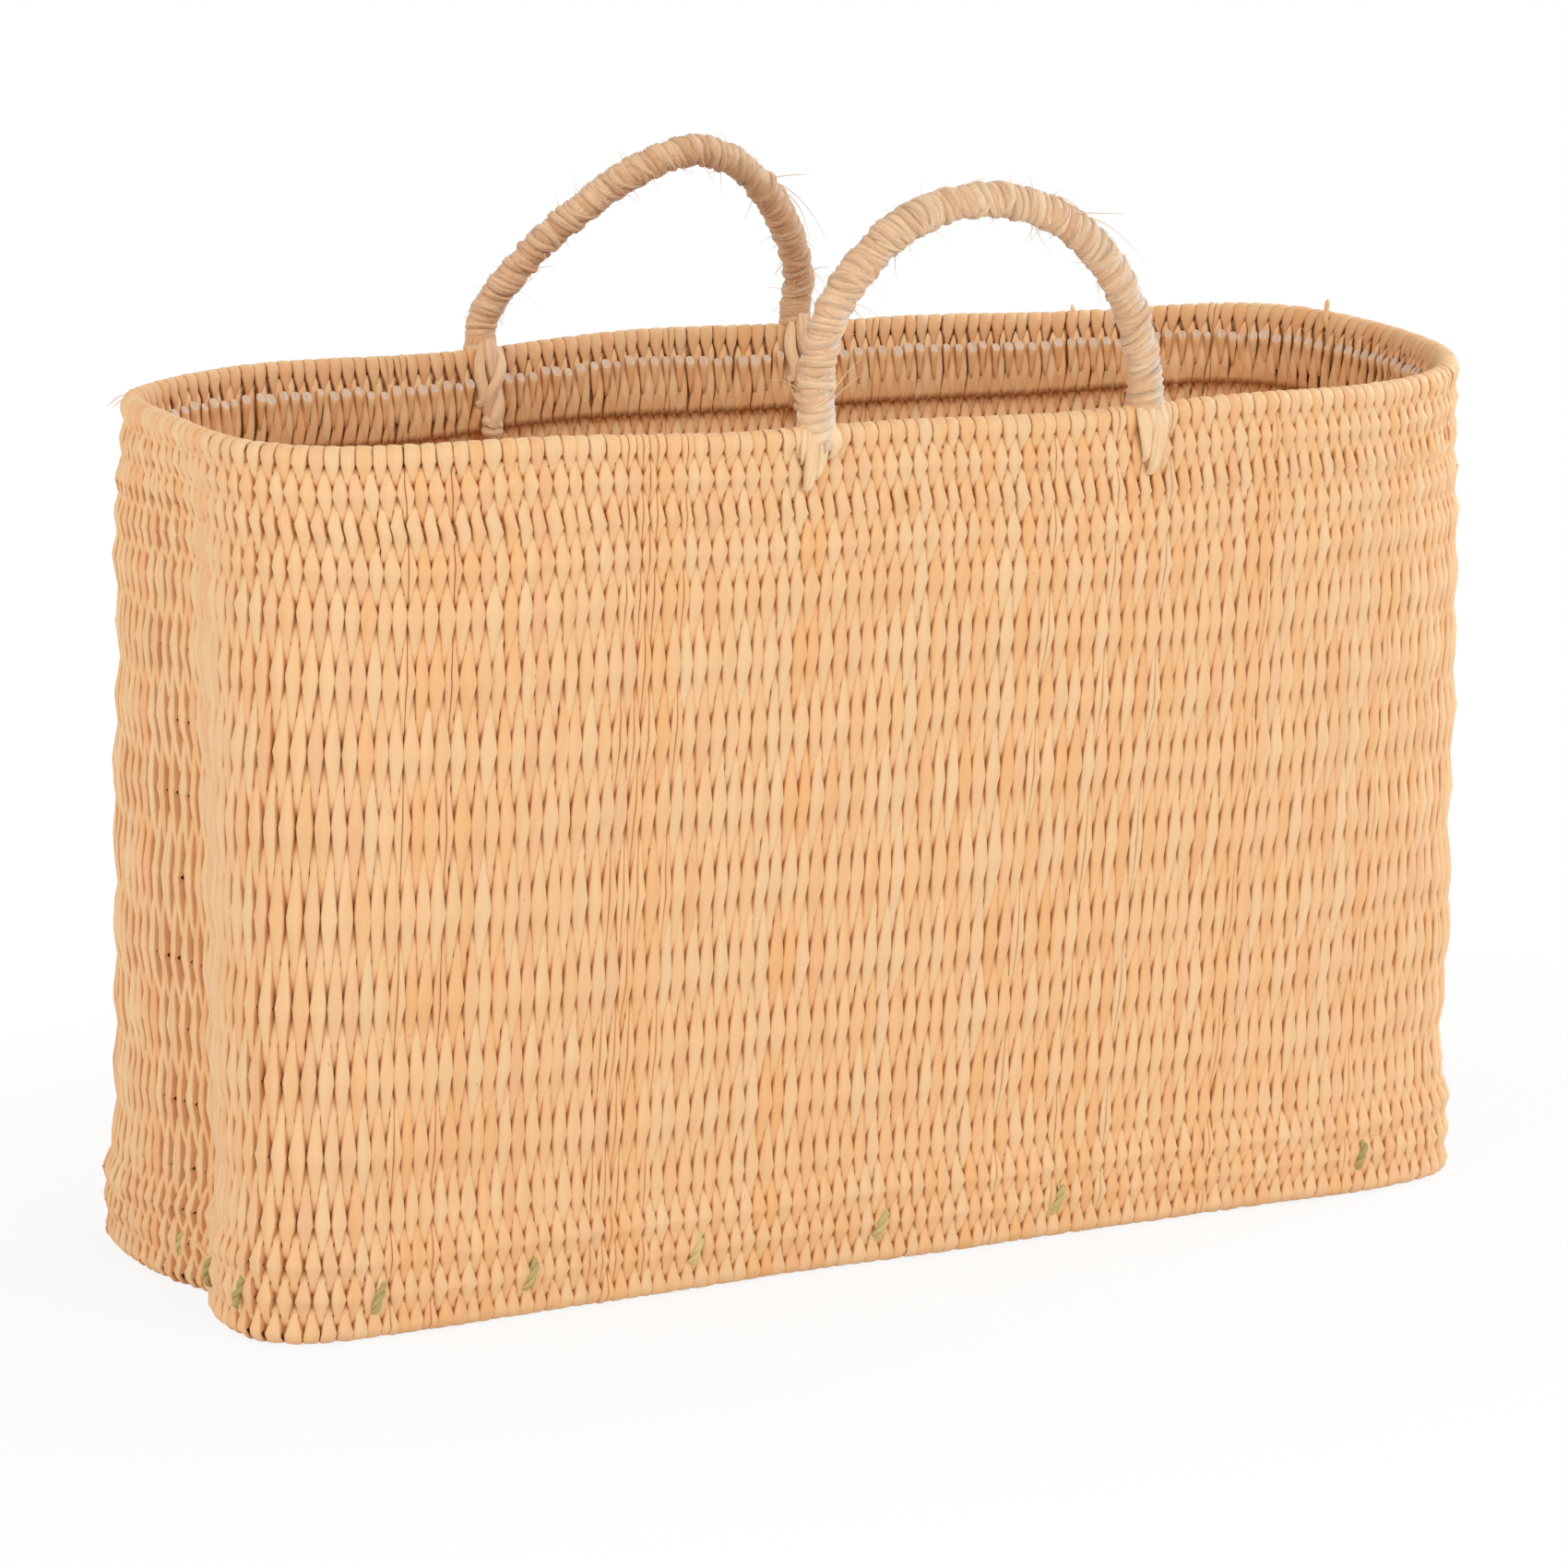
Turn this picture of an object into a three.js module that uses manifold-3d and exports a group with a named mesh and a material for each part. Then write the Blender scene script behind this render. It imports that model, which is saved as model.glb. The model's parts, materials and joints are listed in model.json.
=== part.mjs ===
// A hand-woven magazine basket: split-reed strips in plain weave over sixteen rod hoops, a woven
// base mat lashed into the foot, and two rope handles wound with fibre on loops over the rim.
// Millimetres, +Z up. The origin lies on the floor under the middle of the whole basket.
import * as THREE from 'three';
import Module from 'manifold-3d';

const wasm = await Module();
wasm.setup();

// Body, measured to the middle of the wall's thickness
const bodyHeight = 285;
const footHalfLength = 224;
const footHalfWidth = 70;
const rimHalfLength = 229;
const rimHalfWidth = 95;
const rimShiftX = 5;
const rimShiftY = -4.5;
const wallBow = 1.8;

// Plan of the foot and of the rim, anticlockwise from the middle of the front, as shares of the
// half length and half width. The foot is a long rectangle with one tight corner, the rim an oval.
const footPlanShares = [
  [0, -0.98], [0.5, -0.99], [0.84, -1], [0.972, -0.89], [1.008, -0.62], [1.005, 0],
  [0.99, 0.6], [0.945, 0.88], [0.84, 0.99], [0.4, 1], [-0.2, 1], [-0.845, 1],
  [-0.955, 0.89], [-0.985, 0.62], [-0.98, 0.1], [-0.987, -0.62], [-0.972, -0.86], [-0.918, -0.98],
  [-0.79, -1], [-0.4, -0.98],
];
const rimPlanShares = [
  [0, -0.955], [0.3, -1], [0.66, -0.92], [0.86, -0.71], [0.975, -0.3], [1, 0.25],
  [0.93, 0.66], [0.72, 0.86], [0.3, 0.95], [-0.05, 1], [-0.45, 0.91], [-0.815, 0.77],
  [-0.975, 0.52], [-1, 0.05], [-0.96, -0.46], [-0.78, -0.75], [-0.4, -0.9],
];

// A dent pressed into the left end beside its tight front corner, which fades out at the rim
const dentDepth = 9;
const dentTurnShare = 0.759;
const dentSpanShare = 0.016;
const dentFadePower = 4;

// The wall bows out a little half way up, and the lowest rows stand proud of it
const footFlare = 2.5;
const flareTop = 33;
const flareBlend = 8;

// Rods, strips and the clearance between pieces that touch
const rodRadius = 2.2;
const stripThickness = 1.6;
const clearance = 0.3;
const crossingHalf = 2.3;
const topEdgeHalf = 2.4;
const bottomEdgeHalf = 3.2;
const crestHalf = rodRadius + clearance + stripThickness;
const channelHalf = rodRadius + clearance;

// Rows of the weave: close rows at the rim and at the foot, taller ones between
const rimRowSpacings = [10.2, 11.5, 12.4];
const footRowSpacings = [10.8, 11, 13.3];
const middleRowShares = [0.933, 0.831, 0.719, 0.605, 0.471, 0.336, 0.222, 0.105];

// Base mat
const matThickness = 6;
const matRodRadius = 1.4;
const matRodCount = 5;
const matEdgeMargin = 14;

// Lashing that ties the mat to the second hoop from the floor
const lashRadius = 1.2;
const tieCount = 18;
const tieInset = 6.5;

// Handles
const footSpacing = 121;
const handleOffset = 14;
const archHeight = 62;
const coreRadius = 3.3;
const wrapGap = 0.9;
const wrapThickness = 1.6;
const wrapWidth = 5.5;
const wrapRidgeWidth = 3.2;
const wrapLoops = 24;
const wrapStart = 6;
const frontHandle = { side: -1, lean: 6.4, skew: -5.6, archPower: 1 };
const backHandle = { side: 1, lean: 22, skew: 7.5, archPower: 1.22 };

// Foot loops of the handles
const strandRadius = 1.7;
const loopCorner = 2.6;

// Facet counts
const curveDivisions = 600;
const rodSides = 5;
const matRodSides = 8;
const lashSides = 4;
const strandSides = 6;
const coreSides = 7;
const coreSteps = 20;
const wrapSteps = 8;

// Perimeter stations of the wall's facets, as shares of one turn, at the foot and at the rim.
// They crowd into the corners at the foot and spread out along the oval rim.
const footStationShares = [
  0.04, 0.117, 0.172, 0.191, 0.21, 0.25, 0.29, 0.309, 0.328, 0.383, 0.46, 0.54, 0.617,
  0.672, 0.69, 0.708, 0.739, 0.759, 0.779, 0.795, 0.809, 0.823, 0.883, 0.96,
];
const rimStationShares = [
  0.04, 0.117, 0.15, 0.183, 0.217, 0.25, 0.283, 0.317, 0.35, 0.383, 0.46, 0.54, 0.617,
  0.65, 0.68, 0.708, 0.737, 0.759, 0.782, 0.803, 0.828, 0.853, 0.883, 0.96,
];
const stationCount = footStationShares.length;
const panelStations = {
  front_strips: [stationCount - 2, stationCount + 1],
  right_end_strips: [1, 9],
  back_strips: [9, 12],
  left_end_strips: [12, stationCount - 2],
};

// Colours and finishes
function finish(name, color, roughness) {
  return new THREE.MeshStandardMaterial({ name, color, roughness, metalness: 0 });
}
const reedStrip = finish('reed_strip', 0xebbf88, 0.62);
const reedRod = finish('reed_rod', 0xc99a60, 0.7);
const palmCord = finish('palm_cord', 0x9c9a62, 0.8);
const ropeCore = finish('rope_core', 0xd0ad7e, 0.85);
const fibreWrap = finish('fibre_wrap', 0xead0a2, 0.75);

// Solids from points and faces, and cuts between them
function solidFrom(points, faces) {
  const geometry = new THREE.BufferGeometry();
  geometry.setAttribute('position', new THREE.Float32BufferAttribute(points.flat(), 3));
  geometry.setIndex(faces.flat());
  return geometry;
}

function toManifold(geometry) {
  return new wasm.Manifold(new wasm.Mesh({
    numProp: 3,
    vertProperties: Float32Array.from(geometry.getAttribute('position').array),
    triVerts: Uint32Array.from(geometry.getIndex().array),
  }));
}

function fromManifold(solid) {
  const mesh = solid.getMesh();
  const geometry = new THREE.BufferGeometry();
  geometry.setAttribute('position', new THREE.BufferAttribute(Float32Array.from(mesh.vertProperties), 3));
  geometry.setIndex(new THREE.BufferAttribute(Uint32Array.from(mesh.triVerts), 1));
  return geometry;
}

function cutFrom(geometry, tools) {
  return fromManifold(tools.reduce((solid, tool) => solid.subtract(toManifold(tool)), toManifold(geometry)));
}

function joined(geometries) {
  return fromManifold(geometries.map(toManifold).reduce((solid, other) => solid.add(other)));
}

// Joins rings of equal point counts into one skin, closed on itself or capped by its end rings
function ringedSolid(rings, closed) {
  const sides = rings[0].length;
  const faces = [];
  const spans = closed ? rings.length : rings.length - 1;
  for (let i = 0; i < spans; i++) {
    const here = i * sides;
    const next = ((i + 1) % rings.length) * sides;
    for (let j = 0; j < sides; j++) {
      const k = (j + 1) % sides;
      faces.push([here + j, here + k, next + k], [here + j, next + k, next + j]);
    }
  }
  if (!closed) {
    const last = (rings.length - 1) * sides;
    for (let j = 1; j < sides - 1; j++) {
      faces.push([0, j + 1, j], [last, last + j, last + j + 1]);
    }
  }
  return solidFrom(rings.flat(), faces);
}

// Mitre vectors of a closed polygon in a plane: a point plus its mitre times d lies on the
// polygon's outline moved out by d. Points run anticlockwise, and outwards is to the right.
function mitresOf(points) {
  return points.map(([x, y], i) => {
    const before = points[(i + points.length - 1) % points.length];
    const after = points[(i + 1) % points.length];
    const inward = new THREE.Vector2(x - before[0], y - before[1]).normalize();
    const onward = new THREE.Vector2(after[0] - x, after[1] - y).normalize();
    const mitre = new THREE.Vector2(inward.y + onward.y, -inward.x - onward.x);
    return mitre.multiplyScalar(2 / mitre.lengthSq());
  });
}

// A round cord along a closed plane polygon, anticlockwise in its plane. place turns a point of
// the plane and a height over the plane into a point in space.
function loopedCord(points, radius, sides, place) {
  const mitres = mitresOf(points);
  const rings = points.map(([x, y], i) => Array.from({ length: sides }, (_, j) => {
    const angle = (-2 * Math.PI * (j + 0.5)) / sides;
    const out = radius * Math.cos(angle);
    return place(x + mitres[i].x * out, y + mitres[i].y * out, radius * Math.sin(angle));
  }));
  return ringedSolid(rings, true);
}

// The wall's middle surface, between the plan of the foot and the plan of the rim
function planCurve(planShares, halfLength, halfWidth, shiftX, shiftY) {
  const points = planShares.map(([x, y]) => (
    new THREE.Vector3(shiftX + x * halfLength, shiftY + y * halfWidth, 0)));
  const curve = new THREE.CatmullRomCurve3(points, true, 'centripetal');
  curve.arcLengthDivisions = curveDivisions;
  return curve;
}
const footPlan = planCurve(footPlanShares, footHalfLength, footHalfWidth, 0, 0);
const rimPlan = planCurve(rimPlanShares, rimHalfLength, rimHalfWidth, rimShiftX, rimShiftY);

function wallPoint(turn, level) {
  const share = turn - Math.floor(turn);
  return footPlan.getPointAt(share).lerp(rimPlan.getPointAt(share), level);
}

function dentAt(turn, level) {
  const away = (turn - dentTurnShare) / dentSpanShare;
  return dentDepth * Math.exp(-away * away) * (1 - level ** dentFadePower);
}

function flareAt(z) {
  return footFlare * (1 - THREE.MathUtils.smoothstep(z, flareTop - flareBlend, flareTop + flareBlend));
}

// The ring of wall stations at height z, each with its mitre vector
const ringCache = new Map();
function ringAt(z) {
  if (!ringCache.has(z)) {
    const level = THREE.MathUtils.clamp(z / bodyHeight, 0, 1);
    const turns = footStationShares.map((share, i) => (
      THREE.MathUtils.lerp(share, rimStationShares[i], level)));
    const plain = turns.map((turn) => wallPoint(turn, level).toArray());
    const mitres = mitresOf(plain);
    const moved = plain.map(([x, y], i) => {
      const bow = wallBow * Math.sin(Math.PI * level);
      const out = flareAt(z) + bow - dentAt(turns[i], level);
      return [x + mitres[i].x * out, y + mitres[i].y * out];
    });
    ringCache.set(z, { points: moved, mitres: mitresOf(moved) });
  }
  return ringCache.get(z);
}

// Where the wall's middle surface lies at a given x and height, on the front (-1) or back (1)
function wallYAt(x, z, side) {
  const { points } = ringAt(z);
  for (let i = 0; i < stationCount; i++) {
    const [x0, y0] = points[i];
    const [x1, y1] = points[(i + 1) % stationCount];
    if (Math.sign(x0 - x1) === side && (x - x0) * (x - x1) <= 0) {
      return y0 + ((y1 - y0) * (x - x0)) / (x1 - x0);
    }
  }
  throw new Error('no wall at this x');
}

// Heights of the hoops, from the rim down
const rimRodZ = bodyHeight - crestHalf;
const footRodZ = crestHalf;
const hoopHeights = [rimRodZ];
for (const spacing of rimRowSpacings) hoopHeights.push(hoopHeights.at(-1) - spacing);
const footHeights = [footRodZ];
for (const spacing of footRowSpacings) footHeights.unshift(footHeights[0] + spacing);
const middleTop = hoopHeights.at(-1);
const middleBottom = footHeights[0];
for (const share of middleRowShares) {
  hoopHeights.push(THREE.MathUtils.lerp(middleBottom, middleTop, share));
}
hoopHeights.push(...footHeights);

// Hoops
function hoopName(index) {
  const number = String(index + 1).padStart(2, '0');
  if (index === 0) return `hoop_${number}_rim`;
  return index === hoopHeights.length - 1 ? `hoop_${number}_foot` : `hoop_${number}`;
}

function hoopSolid(z) {
  return loopedCord(ringAt(z).points, rodRadius, rodSides, (x, y, up) => [x, y, z + up]);
}

// Panels of strips. A section of the wall is one outline with a square channel round each hoop:
// it bulges over the hoops and draws in where the strips cross between them.
function wallSection() {
  const outside = [[bottomEdgeHalf, 0]];
  const rising = [...hoopHeights].reverse();
  rising.forEach((z, i) => {
    outside.push([crestHalf, z]);
    if (i < rising.length - 1) outside.push([crossingHalf, (z + rising[i + 1]) / 2]);
  });
  outside.push([topEdgeHalf, bodyHeight]);
  const inside = outside.map(([offset, z]) => [-offset, z]).reverse();
  const outline = [...outside, ...inside].map(([offset, z]) => ({ offset, z, ringZ: z }));
  const channels = hoopHeights.map((z) => (
    [[-1, -1], [-1, 1], [1, 1], [1, -1]].map(([across, up]) => (
      { offset: across * channelHalf, z: z + up * channelHalf, ringZ: z }))));
  return { outline, channels };
}
const section = wallSection();
const sectionPoints = [...section.outline, ...section.channels.flat()];
const sectionLoops = [section.outline, ...section.channels].map((loop) => loop.length);
const sectionFaces = THREE.ShapeUtils.triangulateShape(
  section.outline.map(({ offset, z }) => new THREE.Vector2(offset, z)),
  section.channels.map((loop) => loop.map(({ offset, z }) => new THREE.Vector2(offset, z))),
);

// A section's points at a station, drawn back from the next panel by half the clearance
function sectionAt(station, pull) {
  return sectionPoints.map(({ offset, z, ringZ }) => {
    const { points, mitres } = ringAt(ringZ);
    const i = station % stationCount;
    const [x, y] = points[i];
    const toward = new THREE.Vector2(...points[(i + pull + stationCount) % stationCount]);
    const back = toward.sub(new THREE.Vector2(x, y)).setLength(pull ? clearance / 2 : 0);
    return [x + back.x + mitres[i].x * offset, y + back.y + mitres[i].y * offset, z];
  });
}

function panelSolid([first, last]) {
  const stations = [];
  for (let i = first; i <= last; i++) {
    stations.push(sectionAt(i, i === first ? 1 : i === last ? -1 : 0));
  }
  const size = sectionPoints.length;
  const faces = [];
  for (let i = 0; i < stations.length - 1; i++) {
    let start = i * size;
    for (const count of sectionLoops) {
      for (let j = 0; j < count; j++) {
        const a = start + j;
        const b = start + ((j + 1) % count);
        faces.push([a, a + size, b + size], [a, b + size, b]);
      }
      start += count;
    }
  }
  const end = (stations.length - 1) * size;
  for (const [a, b, c] of sectionFaces) {
    faces.push([a, b, c], [end + a, end + c, end + b]);
  }
  return solidFrom(stations.flat(), faces);
}

// Handles: the hinge line runs through the two feet, just above the loops on the rim
const hingeZ = bodyHeight + clearance + 2 * strandRadius + clearance + coreRadius;

function feetOf({ side }) {
  const middle = -side * handleOffset;
  return [-1, 1].map((end) => {
    const x = middle + (end * footSpacing) / 2;
    return { x, y: wallYAt(x, bodyHeight, side) };
  });
}

// The middle line of a handle in its own plane, from the left foot over the top to the right one
class ArchCurve extends THREE.Curve {
  constructor(handle, halfSpan) {
    super();
    this.handle = handle;
    this.halfSpan = halfSpan;
    this.arcLengthDivisions = curveDivisions;
  }

  getPoint(t, target = new THREE.Vector3()) {
    const { skew, archPower } = this.handle;
    const across = Math.cos(Math.PI * t);
    const rise = Math.sin(Math.PI * t);
    const x = -this.halfSpan * Math.sign(across) * Math.abs(across) ** archPower + skew * rise;
    return target.set(x, 0, archHeight * rise ** archPower);
  }
}

// A point beside the arch: reach out from its middle line at an angle, and along it
function besideArch(arch, share, angle, reach, along) {
  const clamped = THREE.MathUtils.clamp(share, 0, 1);
  const middle = arch.getPointAt(clamped);
  const tangent = arch.getTangentAt(THREE.MathUtils.clamp(clamped, 0.002, 0.998));
  const outward = new THREE.Vector3(-tangent.z, 0, tangent.x);
  middle.addScaledVector(outward, reach * Math.cos(angle));
  middle.y -= reach * Math.sin(angle);
  return middle.addScaledVector(tangent, along).toArray();
}

// The rope core ends in round tips that roll on the foot loops
function coreSolid(arch) {
  const rings = [];
  const addRing = (share, radius, along) => {
    rings.push(Array.from({ length: coreSides }, (_, j) => (
      besideArch(arch, share, (2 * Math.PI * j) / coreSides, radius, along))));
  };
  const tipAngles = [0.5, 0.25].map((share) => share * Math.PI * 0.9);
  for (const angle of tipAngles) addRing(0, coreRadius * Math.cos(angle), -coreRadius * Math.sin(angle));
  for (let i = 0; i <= coreSteps; i++) addRing(i / coreSteps, coreRadius, 0);
  for (const angle of tipAngles.reverse()) {
    addRing(1, coreRadius * Math.cos(angle), coreRadius * Math.sin(angle));
  }
  return ringedSolid(rings, false);
}

// The fibre wrap: one unbroken band wound round the core, ridged along its middle
function wrapRings(arch) {
  const length = arch.getLength();
  const first = wrapStart / length;
  const bandInner = coreRadius + wrapGap;
  const bandOuter = bandInner + wrapThickness;
  const corners = [
    [bandInner, -wrapWidth / 2], [bandInner, wrapWidth / 2],
    [bandOuter, wrapRidgeWidth / 2], [bandOuter, -wrapRidgeWidth / 2],
  ];
  const steps = wrapLoops * wrapSteps;
  const rings = [];
  for (let i = 0; i <= steps; i++) {
    const share = THREE.MathUtils.lerp(first, 1 - first, i / steps);
    const angle = (2 * Math.PI * i) / wrapSteps;
    rings.push(corners.map(([reach, along]) => besideArch(arch, share, angle, reach, along)));
  }
  return rings;
}

// The least gap between one turn of the wrap and the next, on points along both facing edges
function leastGap(rings) {
  const samples = 4;
  let least = Infinity;
  const between = (a, b, share) => new THREE.Vector3(...a).lerp(new THREE.Vector3(...b), share);
  for (let i = 0; i + wrapSteps + 1 < rings.length; i++) {
    for (let s = 0; s < samples; s++) {
      const point = between(rings[i][1], rings[i + 1][1], s / samples);
      for (let step = -1; step <= 1; step++) {
        const j = i + wrapSteps + step;
        const edge = new THREE.Line3(
          new THREE.Vector3(...rings[j][0]), new THREE.Vector3(...rings[Math.min(j + 1, rings.length - 1)][0]));
        const nearest = edge.closestPointToPoint(point, true, new THREE.Vector3());
        least = Math.min(least, nearest.distanceTo(point));
      }
    }
  }
  return least;
}

// Foot loops: a strand over the rim, down the outside and back through the wall between two rows
const loopHoleZ = (hoopHeights[1] + hoopHeights[2]) / 2;
const strandOut = crestHalf + clearance + strandRadius;
const loopTopZ = bodyHeight + clearance + strandRadius;

function footLoop({ x }, side) {
  const topY = wallYAt(x, bodyHeight, side);
  const holeY = wallYAt(x, loopHoleZ, side);
  const path = [
    [holeY - strandOut + loopCorner, loopHoleZ], [holeY + strandOut - loopCorner, loopHoleZ],
    [holeY + strandOut, loopHoleZ + loopCorner], [topY + strandOut, loopTopZ - loopCorner],
    [topY + strandOut - loopCorner, loopTopZ], [topY - strandOut + loopCorner, loopTopZ],
    [topY - strandOut, loopTopZ - loopCorner], [holeY - strandOut, loopHoleZ + loopCorner],
  ];
  return loopedCord(path, strandRadius, strandSides, (y, z, aside) => [x + aside, y, z]);
}

// A square bore through the wall, for a strand that goes through it
function boreBlock(x, y, z, turn, radius) {
  const block = new THREE.BoxGeometry(2 * (radius + clearance), 4 * crestHalf, 2 * (radius + clearance));
  block.deleteAttribute('normal');
  block.deleteAttribute('uv');
  block.rotateZ(turn).translate(x, y, z);
  return mergedBox(block);
}

// A box geometry with its corner points shared, as cuts need
function mergedBox(block) {
  const position = block.getAttribute('position');
  const points = [];
  const places = [];
  for (let i = 0; i < position.count; i++) {
    const point = new THREE.Vector3().fromBufferAttribute(position, i);
    let found = points.findIndex((other) => other.distanceTo(point) < clearance / 2);
    if (found < 0) found = points.push(point) - 1;
    places.push(found);
  }
  const index = Array.from(block.getIndex().array, (i) => places[i]);
  return solidFrom(points.map((point) => point.toArray()), [index]);
}

const handles = { front: frontHandle, back: backHandle };
const loopSolids = {};
const loopBores = { front: [], back: [] };
for (const [name, handle] of Object.entries(handles)) {
  feetOf(handle).forEach((foot, i) => {
    loopSolids[`${name}_${i ? 'right' : 'left'}_foot_loop`] = footLoop(foot, handle.side);
    const holeY = wallYAt(foot.x, loopHoleZ, handle.side);
    loopBores[name].push(boreBlock(foot.x, holeY, loopHoleZ, 0, strandRadius));
  });
}

// Base mat, level with the second hoop from the floor
const matRing = hoopHeights.at(-2);
const matBottom = matRing - matThickness / 2;
const matTop = matRing + matThickness / 2;
const matInset = crestHalf + clearance;
const tieHoleOffset = matInset + tieInset;

// The lashing lies in a rebate along the mat's edge, level with the mat's top
const matStepInset = tieHoleOffset + lashRadius + clearance;
const matEdgeTop = matTop - 2 * lashRadius - clearance;
const lashRingZ = matTop - lashRadius;

function movedRing(z, offset) {
  const { points, mitres } = ringAt(z);
  return points.map(([x, y], i) => [x - mitres[i].x * offset, y - mitres[i].y * offset]);
}

function matRodPlaces() {
  const ring = movedRing(matRing, matInset);
  const reach = Math.max(...ring.map(([, y]) => y)) - matEdgeMargin;
  const low = Math.min(...ring.map(([, y]) => y)) + matEdgeMargin;
  return Array.from({ length: matRodCount }, (_, i) => (
    THREE.MathUtils.lerp(low, reach, i / (matRodCount - 1))));
}

// How far the mat's outline reaches to the left and to the right at a given y
function matSpanAt(y, inset) {
  const ring = movedRing(matRing, inset);
  const crossings = [];
  ring.forEach(([x0, y0], i) => {
    const [x1, y1] = ring[(i + 1) % ring.length];
    if ((y - y0) * (y - y1) < 0) crossings.push(x0 + ((x1 - x0) * (y - y0)) / (y1 - y0));
  });
  return [Math.min(...crossings), Math.max(...crossings)];
}

function matRodSolid(y) {
  const [left, right] = matSpanAt(y, tieHoleOffset + lashRadius + matRodRadius);
  const rings = [left, right].map((x) => Array.from({ length: matRodSides }, (_, j) => {
    const angle = (2 * Math.PI * (j + 0.5)) / matRodSides;
    return [x, y + matRodRadius * Math.cos(angle), matRing + matRodRadius * Math.sin(angle)];
  }));
  return ringedSolid(rings, false);
}

// Places of the ties, even steps along the lashing's ring: the point of the wall's middle line
// that each one goes round, with the way out of the wall
function tiePlaces() {
  const points = movedRing(matRing, tieHoleOffset);
  const lengths = points.map(([x, y], i) => {
    const [x1, y1] = points[(i + 1) % points.length];
    return Math.hypot(x1 - x, y1 - y);
  });
  const total = lengths.reduce((sum, length) => sum + length, 0);
  return Array.from({ length: tieCount }, (_, i) => {
    let rest = (total * (i + 0.5)) / tieCount;
    let j = 0;
    while (rest > lengths[j]) {
      rest -= lengths[j];
      j++;
    }
    const [x0, y0] = points[j];
    const [x1, y1] = points[(j + 1) % points.length];
    const share = rest / lengths[j];
    const out = new THREE.Vector2(y1 - y0, x0 - x1).normalize();
    return {
      x: THREE.MathUtils.lerp(x0, x1, share) + out.x * tieHoleOffset,
      y: THREE.MathUtils.lerp(y0, y1, share) + out.y * tieHoleOffset,
      out,
    };
  });
}
const ties = tiePlaces();
const tieTopZ = (hoopHeights.at(-3) + hoopHeights.at(-2)) / 2;
const tieBottomZ = (hoopHeights.at(-2) + hoopHeights.at(-1)) / 2;
const tieOut = crestHalf + clearance + lashRadius;

function tieSolid({ x, y, out }) {
  const path = [
    [-tieHoleOffset, tieBottomZ], [tieOut, tieBottomZ], [tieOut, tieTopZ], [-matInset, tieTopZ],
    [-tieHoleOffset, lashRingZ],
  ];
  return loopedCord(path, lashRadius, lashSides, (along, z, aside) => (
    [x + out.x * along + out.y * aside, y + out.y * along - out.x * aside, z]));
}

function lashingSolid() {
  const ring = loopedCord(
    movedRing(matRing, tieHoleOffset), lashRadius, lashSides, (x, y, up) => [x, y, lashRingZ + up]);
  return joined([ring, ...ties.map(tieSolid)]);
}

function tieBores(tie) {
  const angle = Math.atan2(tie.out.y, tie.out.x) - Math.PI / 2;
  return [tieTopZ, tieBottomZ].map((z) => boreBlock(tie.x, tie.y, z, angle, lashRadius));
}

function matSolid() {
  const steps = [
    [matInset, matBottom], [matInset, matEdgeTop], [matStepInset, matEdgeTop], [matStepInset, matTop],
  ];
  const rings = steps.map(([inset, z]) => movedRing(matRing, inset).map(([x, y]) => [x, y, z]));
  const slab = ringedSolid(rings, false);
  const channels = matRodPlaces().map((y) => {
    const size = 2 * (matRodRadius + clearance);
    const length = 2 * (footHalfLength + footHalfWidth);
    return mergedBox(new THREE.BoxGeometry(length, size, size).translate(0, y, matRing));
  });
  const holes = ties.map(({ x, y, out }) => {
    const size = 2 * (lashRadius + clearance);
    const block = new THREE.BoxGeometry(size, size, 2 * matThickness);
    block.rotateZ(Math.atan2(out.y, out.x));
    block.translate(x - out.x * tieHoleOffset, y - out.y * tieHoleOffset, matRing);
    return mergedBox(block);
  });
  return cutFrom(slab, [...channels, ...holes]);
}

// Assembly
const basket = new THREE.Group();
function add(name, geometry, material, parent = basket) {
  const mesh = new THREE.Mesh(geometry, material);
  mesh.name = name;
  parent.add(mesh);
}

hoopHeights.forEach((z, i) => add(hoopName(i), hoopSolid(z), reedRod));

const wallBores = [...loopBores.front, ...loopBores.back, ...ties.flatMap(tieBores)];
for (const [name, stations] of Object.entries(panelStations)) {
  add(name, cutFrom(panelSolid(stations), wallBores), reedStrip);
}

add('base_strips', matSolid(), reedStrip);
matRodPlaces().forEach((y, i) => add(`base_rod_${i + 1}`, matRodSolid(y), reedRod));
add('base_lashing', lashingSolid(), palmCord);

for (const [name, solid] of Object.entries(loopSolids)) add(name, solid, fibreWrap);

for (const [name, handle] of Object.entries(handles)) {
  const [left, right] = feetOf(handle);
  const line = new THREE.Group();
  line.position.set((left.x + right.x) / 2, (left.y + right.y) / 2, hingeZ);
  line.rotation.z = Math.atan2(right.y - left.y, right.x - left.x);
  const plane = new THREE.Group();
  plane.rotation.x = THREE.MathUtils.degToRad(handle.lean);
  line.add(plane);
  basket.add(line);
  const arch = new ArchCurve(handle, Math.hypot(right.x - left.x, right.y - left.y) / 2);
  add(`${name}_handle_core`, coreSolid(arch), ropeCore, plane);
  const rings = wrapRings(arch);
  add(`${name}_handle_wrap`, ringedSolid(rings, false), fibreWrap, plane);
  console.log(`${name} handle wrap: least gap to itself ${leastGap(rings).toFixed(2)} mm`);
}

// The origin goes under the middle of the whole basket
const centre = new THREE.Box3().setFromObject(basket, true).getCenter(new THREE.Vector3());
basket.position.set(-centre.x, -centre.y, 0);

export default basket;
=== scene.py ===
import json
import math

import bpy
import numpy as np
from mathutils import Matrix, Vector


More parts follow.
